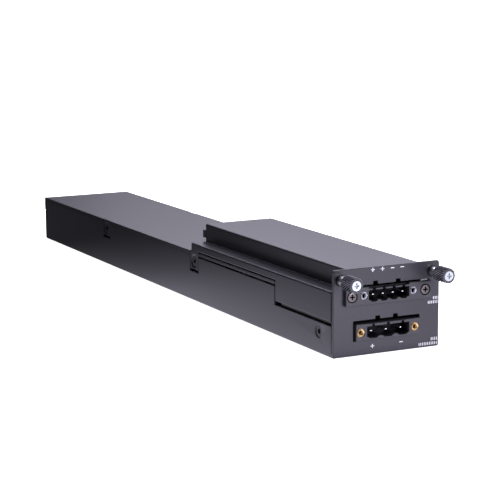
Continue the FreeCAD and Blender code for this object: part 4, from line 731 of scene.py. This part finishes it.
def flat_screw():
    """Countersunk screw with a hexagon socket. Local z = 0 lies on the face of the sheet."""
    face = -HEAD_SINK
    return loft([
        (SCREW_RADIUS - 0.3, -FLAT_LENGTH), (SCREW_RADIUS, 0.3 - FLAT_LENGTH), (SCREW_RADIUS, -SHEET),
        (FLAT_HEAD - 0.03, face - 0.08), (FLAT_HEAD, face - 0.04), (FLAT_HEAD - 0.05, face),
        (hexagon(SOCKET + 0.12), face), (hexagon(SOCKET), face - 0.1), (hexagon(SOCKET), face - 0.9),
        (hexagon(SOCKET - 0.6), face - 1.0),
    ])


def case_screws():
    """Black countersunk screws in the walls, tabs and rear flap."""
    sides = SIDES.values()
    groups = {
        "side_screws": [((s * CASE_HALF, *SIDE_SCREW), (s, 0, 0)) for s in sides],
        "tab_screws": [((s * CASE_HALF, *place), (s, 0, 0)) for place in TAB_SCREWS for s in sides],
        "flap_screws": [((s * FLAP_SCREW[0], CASE_REAR, FLAP_SCREW[1]), (0, 1, 0)) for s in sides],
    }
    for node, places in groups.items():
        copies(node + "_finish", flat_screw(), places, "black_steel", [node])


# Captive thumbscrews, built round local z with z = 0 on the panel's face
def on_thumb_axis(mesh, side):
    """Moves a mesh to a thumbscrew's axis."""
    mesh.transform(Matrix.Translation(Vector((side * THUMB_OUT, PANEL_FACE, THUMB_UP)) * MM) @ TO_FRONT)
    return mesh


def knob_mesh():
    """Knurled knob: a chamfered sleeve with slanted ridges between its collars."""
    sizes = bpy.context.scene.module_sizes
    low = KNOB_BACK + COLLAR
    high = KNOB_FRONT - COLLAR
    core = loft([
        (KNOB_BORE, KNOB_BACK + 0.1), (KNOB_BORE, KNOB_FLOOR), (SCREW_HOLE, KNOB_FLOOR),
        (SCREW_HOLE, HEAD_SEAT), (KNOB_RECESS, HEAD_SEAT), (KNOB_RECESS, KNOB_FRONT - 0.08),
        (KNOB_RECESS + 0.08, KNOB_FRONT),
        (KNOB_FACE, KNOB_FRONT), (CHAMFER, high), (KNURL_VALLEY, high), (KNURL_VALLEY, KNOB_BACK + 0.15),
        (KNURL_VALLEY - 0.15, KNOB_BACK), (KNOB_BORE + 0.1, KNOB_BACK),
    ], closed=True)
    turns = (high - low) * math.tan(sizes.knurl_angle) / KNURL_CREST / (2 * math.pi)
    half_width = math.pi * KNURL_VALLEY / sizes.knurl_ridges
    ridges = helix("knurl", "black_anodised", KNURL_VALLEY, turns, low, high, half_width,
                   KNURL_CREST - KNURL_VALLEY, steps=80, copies=sizes.knurl_ridges)
    return joined([core, ridges])


def screw_mesh():
    """Captive screw: cross-recessed head, relieved shank and a short thread."""
    pitch = bpy.context.scene.module_sizes.thread_pitch / MM
    core = loft([
        (THREAD_ROOT - 0.14, THREAD_END - 0.4), (THREAD_ROOT, THREAD_END - 0.2),
        (THREAD_ROOT, THREAD_START + 0.2), (SHANK_RADIUS, THREAD_START + 0.4), (SHANK_RADIUS, HEAD_SEAT),
        (HEAD_RADIUS, HEAD_SEAT), (HEAD_RADIUS, KNOB_FRONT - 0.15), (HEAD_RADIUS - 0.15, KNOB_FRONT),
        (cross(*DRIVE), KNOB_FRONT), (cross(*DRIVE_FLOOR), KNOB_FRONT - DRIVE_DEPTH),
    ])
    thread = helix("thread", "bright_steel", THREAD_ROOT, (THREAD_START - THREAD_END) / pitch, THREAD_END,
                   THREAD_START, pitch * THREAD_SHARE, THREAD_CREST - THREAD_ROOT)
    return joined([core, thread])


def ferrule_mesh():
    """Pressed sleeve with a chamfered mouth and a rim behind the panel."""
    return loft([
        (FERRULE_HOLE, FERRULE_BACK), (FERRULE_RIM - 0.1, FERRULE_BACK), (FERRULE_RIM, FERRULE_BACK + 0.1),
        (FERRULE_RIM, -SHEET), (FERRULE_RADIUS, -SHEET), (FERRULE_RADIUS, FERRULE_FRONT - 0.2),
        (FERRULE_RADIUS - 0.2, FERRULE_FRONT), (FERRULE_BORE + 0.1, FERRULE_FRONT),
        (FERRULE_BORE, FERRULE_FRONT - 0.1), (FERRULE_BORE, SPRING_SEAT), (FERRULE_HOLE, SPRING_SEAT),
    ], closed=True)


def thumbscrews():
    """Ferrules, springs, knobs and captive screws on both sides."""
    turns = bpy.context.scene.module_sizes.spring_turns
    for name, side in SIDES.items():
        body = f"{name}_thumbscrew"
        ferrule = on_thumb_axis(ferrule_mesh(), side)
        piece(f"{name}_ferrule_finish", ferrule, "nickel_plate", [f"{name}_ferrule"])
        knob = on_thumb_axis(knob_mesh(), side)
        piece(f"{name}_knob_finish", knob, "black_anodised", [f"{name}_knob"], body)
        screw = on_thumb_axis(screw_mesh(), side)
        piece(f"{name}_screw_finish", screw, "bright_steel", [f"{name}_screw"], body)
        wire = helix("spring", "spring_steel", COIL_RADIUS, turns, SPRING_SEAT + WIRE_RADIUS,
                     KNOB_FLOOR - WIRE_RADIUS, WIRE_RADIUS, WIRE_RADIUS, steps=32, sides=10)
        wire.shade_smooth()
        spring = on_thumb_axis(wire, side)
        coil = piece(f"{name}_spring_finish", spring, "spring_steel", [f"{name}_spring"])
        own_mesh(coil)


# Terminal headers
def insert_mesh(radius):
    """Threaded insert with a grooved and chamfered mouth. Local z = 0 lies on its front face."""
    pitch = bpy.context.scene.module_sizes.thread_pitch / MM
    neck = radius - INSERT_NECK
    body = loft([
        (INSERT_BORE, -INSERT_LENGTH), (radius, -INSERT_LENGTH), (radius, -0.6), (neck, -0.6), (neck, -0.1),
        (neck - 0.08, 0.0), (neck - 0.12, 0.0), (INSERT_BORE, -0.4),
    ], closed=True)
    low, high = INSERT_THREAD
    thread = helix("insert_thread", "brass_inserts", INSERT_BORE, (high - low) / pitch, low, high,
                   pitch * THREAD_SHARE, INSERT_RIDGE)
    return joined([body, thread])


def flange_screw():
    """Cross-recessed screw, its head's face at local z = 0."""
    return loft([
        (FLANGE_SHANK - 0.25, -FLANGE_LENGTH), (FLANGE_SHANK, 0.25 - FLANGE_LENGTH),
        (FLANGE_SHANK, -FLANGE_HEAD_HEIGHT), (FLANGE_HEAD, -FLANGE_HEAD_HEIGHT), (FLANGE_HEAD, -0.25),
        (FLANGE_HEAD - 0.1, -0.1), (FLANGE_HEAD - 0.25, 0.0), (cross(*DRIVE), 0.0),
        (cross(*DRIVE_FLOOR), -DRIVE_DEPTH),
    ])


def headers():
    """Moulded headers with softened edges, their pins, threaded inserts and flange screws."""
    width = bpy.context.scene.module_sizes.mould_round
    for node in ("upper_header", "lower_header"):
        softened(node, width, "black_polyamide", "sockets")
    for node in ("upper_header_pins", "lower_header_pins"):
        softened(node, width / 2, "tinned_pins")
    sides = SIDES.values()
    front = (0, -1, 0)
    upper = [((s * UPPER_INSERT[0], FLANGE_FACE, UPPER_INSERT[1]), front) for s in sides]
    copies("upper_header_inserts_finish", insert_mesh(UPPER_INSERT_RADIUS), upper, "nickel_plate",
           ["upper_header_inserts"], "nickel_inserts")
    lower = [((s * LOWER_INSERT[0], LOWER_FACE, LOWER_INSERT[1]), front) for s in sides]
    copies("lower_header_inserts_finish", insert_mesh(LOWER_INSERT_RADIUS), lower, "brass_inserts",
           ["lower_header_inserts"])
    screws = [((s * FLANGE_SCREW[0], FLANGE_FACE, FLANGE_SCREW[1]), front) for s in sides]
    copies("upper_header_screws_finish", flange_screw(), screws, "zinc_screws", ["upper_header_screws"],
           "flange_screws")


# Printed marks
MARK_GAUGE = 0.02
MARK_LINE = 0.34
PLUS = ((-0.75, 0.0, 0.75, 0.0), (0.0, -0.75, 0.0, 0.75))
MINUS = ((-0.75, 0.0, 0.75, 0.0),)
BAR = ((0.0, -0.5, 0.0, 0.5),)
BAR_PITCH = 0.92
MARKS = (
    (PLUS, -7.4, 38.14), (PLUS, -2.4, 38.14), (MINUS, 2.8, 38.14), (MINUS, 7.8, 38.14),
    (PLUS, -7.3, 3.8), (MINUS, 7.6, 4.1),
)
# Rows of plain bars: the right-hand end, the height and the number of bars
BAR_ROWS = ((26.3, 22.5, 3), (26.3, 20.6, 6), (26.3, 3.7, 4), (26.3, 1.7, 11))


def stroke(shape, x0, z0, x1, z1):
    """A thin raised bar on the panel from one point to another."""
    start = Vector((x0, 0, z0))
    end = Vector((x1, 0, z1))
    along = (end - start).normalized() * MARK_LINE / 2
    aside = Vector((-along.z, 0, along.x))
    face = [start - along - aside, end + along - aside, end + along + aside, start - along + aside]
    depth = Vector((0, -MARK_GAUGE, 0))
    base = Vector((0, PANEL_FACE, 0))
    low = [shape.verts.new((point + base) * MM) for point in face]
    high = [shape.verts.new((point + base + depth) * MM) for point in face]
    shape.faces.new(low)
    shape.faces.new(high)
    for i in range(4):
        j = (i + 1) % 4
        shape.faces.new((low[i], low[j], high[j], high[i]))


def panel_marks():
    """Polarity signs and rows of plain bars in white print."""
    shape = bmesh.new()
    bars = [(BAR, end - i * BAR_PITCH, z) for end, z, count in BAR_ROWS for i in range(count)]
    for mark, x, z in [*MARKS, *bars]:
        for x0, z0, x1, z1 in mark:
            stroke(shape, x + x0, z + z0, x + x1, z + z1)
    bmesh.ops.recalc_face_normals(shape, faces=shape.faces)
    piece("panel_marks", mesh_of(shape), "black_powder_coat", material=finish("marks"))


# Rear connector and inner parts
def rear_connector():
    """Slotted housing with softened edges."""
    softened("rear_connector", bpy.context.scene.module_sizes.mould_round, "black_polyamide")


def inner_parts():
    """Materials for the solids that are shown as they are."""
    slots = {row["node"]: row["material_slot"] for row in frame["record"]["subparts"]}
    second = winding("Enamelled_copper_wire_output", linear("#c06a35"), OUTPUT_CHOKE, OUTPUT_TURNS)
    for name, node in frame["nodes"].items():
        if node.hide_render:
            continue
        material = second if name == "output_choke_winding" else finish(slots[name])
        if not node.material_slots:
            node.data.materials.append(material)
        for slot in node.material_slots:
            slot.material = material


# Stage
CAMERA_PLACE = (-0.392391, -0.810243, 0.179765)
CAMERA_TURN = (79.8721, 0.262, -27.0532)
CAMERA_LENS = 123.81066
SENSOR = 36.0

# Paper sweep and table top, in metres
PAPER_FRONT = -4.0
PAPER_BEND = 2.0
PAPER_TOP = 4.0
PAPER_HALF = 5.0
BEND_RADIUS = 1.0
BEND_STEPS = 12
TABLE_HALF = 2.0
TABLE_DROP = 0.0005

# Levels of the table's glow along y, and its fade between two distances from the middle
TABLE_GLOW = (
    (-0.8, 0.3), (-0.55, 0.75), (-0.42, 1.0), (-0.36, 1.0), (-0.3, 0.84), (-0.26, 0.58), (-0.21, 0.5),
    (-0.184, 0.47), (-0.176, 0.15), (-0.168, 0.33), (-0.12, 0.315), (-0.05, 0.307), (0.0, 0.27),
    (0.05, 0.142), (0.1, 0.075), (0.13, 0.052), (0.17, 0.022), (0.28, 0.037), (0.7, 0.03),
)
FADE_NEAR = 0.03
FADE_FAR = 0.11
GLOW_ASIDE = 0.42


def camera():
    """Camera at the photo's angle."""
    data = bpy.data.cameras.new("Camera")
    data.lens = CAMERA_LENS
    data.sensor_width = SENSOR
    eye = bpy.data.objects.new("Camera", data)
    eye.location = CAMERA_PLACE
    eye.rotation_euler = [math.radians(angle) for angle in CAMERA_TURN]
    bpy.context.scene.collection.objects.link(eye)
    bpy.context.scene.camera = eye


def lamp(name, place, aim, size, power, tint="#ffffff"):
    """A soft rectangular light that the camera doesn't see."""
    data = bpy.data.lights.new(name, "AREA")
    data.shape = "RECTANGLE"
    data.size, data.size_y = size
    data.energy = power
    data.color = linear(tint)
    thing = bpy.data.objects.new(name, data)
    thing.location = place
    thing.rotation_euler = (Vector(aim) - Vector(place)).to_track_quat("-Z", "Y").to_euler()
    thing.visible_camera = False
    bpy.context.scene.collection.objects.link(thing)


def paper(strength):
    """White studio paper: even and bright, with a faint fibre tone."""
    material, tree = blank("White_studio_paper")
    place = add(tree, "ShaderNodeTexCoord").outputs["Object"]
    noise = add(tree, "ShaderNodeTexNoise", {"Vector": place, "Scale": 1 / (40 * MM), "Detail": 2.0})
    tones = [(0.3, (0.97, 0.97, 0.97, 1)), (0.7, (1, 1, 1, 1))]
    tone = add(tree, "ShaderNodeValToRGB", {"Fac": noise.outputs["Fac"]}, tones).outputs["Color"]
    shader = add(tree, "ShaderNodeBsdfPrincipled", {
        "Base Color": tone, "Roughness": 0.9, "Specular IOR Level": 0.0, "Emission Color": tone,
        "Emission Strength": strength})
    add(tree, "ShaderNodeOutputMaterial", {"Surface": shader.outputs["BSDF"]})
    return material


def sweep_of_paper():
    """A floor that curves up into a backdrop, seen by the camera only."""
    profile = [(PAPER_FRONT, 0.0), (PAPER_BEND, 0.0)]
    for i in range(1, BEND_STEPS + 1):
        angle = math.radians(90 * i / BEND_STEPS)
        profile.append((PAPER_BEND + BEND_RADIUS * math.sin(angle), BEND_RADIUS * (1 - math.cos(angle))))
    profile.append((PAPER_BEND + BEND_RADIUS, PAPER_TOP))
    shape = bmesh.new()
    rows = [[shape.verts.new((x, y, z)) for x in (-PAPER_HALF, PAPER_HALF)] for y, z in profile]
    for low, high in zip(rows, rows[1:]):
        shape.faces.new((low[0], low[1], high[1], high[0]))
    floor = link("floor", mesh_of(shape))
    floor.data.materials.append(paper(1.0))
    floor.visible_diffuse = False
    floor.visible_glossy = False


def table_light(strength, tint):
    """A glowing table top under the floor, bright along y as its table says and dimmer to both sides.

    It lights the module and shows in its reflections, but the camera doesn't see it.
    """
    material, tree = blank("Lit_table_top")
    place = add(tree, "ShaderNodeTexCoord").outputs["Object"]
    parts = add(tree, "ShaderNodeSeparateXYZ", {"Vector": place}).outputs
    front = TABLE_GLOW[0][0]
    rear = TABLE_GLOW[-1][0]
    along = add(tree, "ShaderNodeMapRange", {"Value": parts["Y"], "From Min": front, "From Max": rear})
    aside = add(tree, "ShaderNodeMath", {0: parts["X"]}, operation="ABSOLUTE")
    fade = add(tree, "ShaderNodeMapRange", {
        "Value": aside.outputs["Value"], "From Min": FADE_NEAR, "From Max": FADE_FAR,
        "To Min": strength, "To Max": strength * GLOW_ASIDE})
    tones = [((y - front) / (rear - front), shade(tint, level)) for y, level in TABLE_GLOW]
    tone = add(tree, "ShaderNodeValToRGB", {"Fac": along.outputs["Result"]}, tones)
    glow = add(tree, "ShaderNodeEmission", {
        "Strength": fade.outputs["Result"], "Color": tone.outputs["Color"]})
    add(tree, "ShaderNodeOutputMaterial", {"Surface": glow.outputs["Emission"]})
    shape = bmesh.new()
    corners = ((-TABLE_HALF, front), (TABLE_HALF, front), (TABLE_HALF, rear), (-TABLE_HALF, rear))
    shape.faces.new([shape.verts.new((x, y, -TABLE_DROP)) for x, y in corners])
    card = link("table_light", mesh_of(shape))
    card.data.materials.append(material)
    card.visible_camera = False
    card.visible_shadow = False


def surroundings(strength):
    """A dim even surround."""
    world = bpy.data.worlds.new("Studio")
    world.use_nodes = True
    tree = world.node_tree
    tree.nodes.clear()
    back = add(tree, "ShaderNodeBackground", {"Color": (0.95, 0.95, 1.0, 1.0), "Strength": strength})
    add(tree, "ShaderNodeOutputWorld", {"Surface": back.outputs["Background"]})
    bpy.context.scene.world = world


def stage():
    """Paper sweep, soft lights and the camera."""
    bpy.context.scene.view_settings.view_transform = "Standard"
    camera()
    sweep_of_paper()
    surroundings(0.03)
    table_light(4.4, linear("#f0edff"))
    lamp("front_light", (0.7, -1.5, 0.6), (0.0, -0.17, 0.02), (1.0, 0.8), 26.0, "#f4f2ff")
    lamp("top_light", (0.1, 0.9, 1.5), (0.0, 0.0, 0.0), (1.2, 1.2), 30.0, "#f0edff")
    lamp("back_light", (1.28, 1.7, 1.0), (0.0, -0.1, 0.0), (1.4, 0.7), 9.5, "#f0edff")


# Operators, one for each group of like pieces
class MODULE_OT_case(bpy.types.Operator):
    """Finishes the tray and the two covers"""

    bl_idname = "module.case"
    bl_label = "Case"

    def execute(self, context):
        case_shells()
        return {"FINISHED"}


class MODULE_OT_case_screws(bpy.types.Operator):
    """Makes the countersunk case screws"""

    bl_idname = "module.case_screws"
    bl_label = "Case screws"

    def execute(self, context):
        case_screws()
        return {"FINISHED"}


class MODULE_OT_thumbscrews(bpy.types.Operator):
    """Makes the captive thumbscrews with their springs"""

    bl_idname = "module.thumbscrews"
    bl_label = "Thumbscrews"

    def execute(self, context):
        thumbscrews()
        return {"FINISHED"}


class MODULE_OT_headers(bpy.types.Operator):
    """Makes the terminal headers with their pins, inserts and screws"""

    bl_idname = "module.headers"
    bl_label = "Terminal headers"

    def execute(self, context):
        headers()
        return {"FINISHED"}


class MODULE_OT_marks(bpy.types.Operator):
    """Prints the polarity signs and the rows of bars on the panel"""

    bl_idname = "module.marks"
    bl_label = "Panel marks"

    def execute(self, context):
        panel_marks()
        return {"FINISHED"}


class MODULE_OT_rear_connector(bpy.types.Operator):
    """Finishes the connector in the rear wall"""

    bl_idname = "module.rear_connector"
    bl_label = "Rear connector"

    def execute(self, context):
        rear_connector()
        return {"FINISHED"}


class MODULE_OT_inner_parts(bpy.types.Operator):
    """Gives the boards and components inside the case their materials"""

    bl_idname = "module.inner_parts"
    bl_label = "Inner parts"

    def execute(self, context):
        inner_parts()
        return {"FINISHED"}


class MODULE_OT_stage(bpy.types.Operator):
    """Sets up the floor, the lights and the camera"""

    bl_idname = "module.stage"
    bl_label = "Stage"

    def execute(self, context):
        stage()
        return {"FINISHED"}


class MODULE_PT_panel(bpy.types.Panel):
    """Lists the sizes, the colours and the steps that build the module"""

    bl_idname = "MODULE_PT_panel"
    bl_label = "Power Supply Module"
    bl_space_type = "VIEW_3D"
    bl_region_type = "UI"
    bl_category = "Module"

    def draw(self, context):
        for settings in (context.scene.module_sizes, context.scene.module_colours):
            column = self.layout.column()
            for name in settings.__annotations__:
                column.prop(settings, name)
        column = self.layout.column()
        for step in STEPS:
            column.operator(step.bl_idname)


STEPS = (
    MODULE_OT_case, MODULE_OT_case_screws, MODULE_OT_thumbscrews, MODULE_OT_headers, MODULE_OT_marks,
    MODULE_OT_rear_connector, MODULE_OT_inner_parts, MODULE_OT_stage,
)
CLASSES = (ModuleSizes, ModuleColours, *STEPS, MODULE_PT_panel)


def register():
    """Adds the classes and the scene's settings."""
    for item in CLASSES:
        bpy.utils.register_class(item)
    bpy.types.Scene.module_sizes = PointerProperty(type=ModuleSizes)
    bpy.types.Scene.module_colours = PointerProperty(type=ModuleColours)


def unregister():
    """Takes the settings and the classes away again."""
    del bpy.types.Scene.module_colours
    del bpy.types.Scene.module_sizes
    for item in reversed(CLASSES):
        bpy.utils.unregister_class(item)


def main():
    """Builds every piece in order."""
    register()
    bpy.ops.module.case()
    bpy.ops.module.case_screws()
    bpy.ops.module.thumbscrews()
    bpy.ops.module.headers()
    bpy.ops.module.marks()
    bpy.ops.module.rear_connector()
    bpy.ops.module.inner_parts()
    bpy.ops.module.stage()


if __name__ == "__main__":
    main()
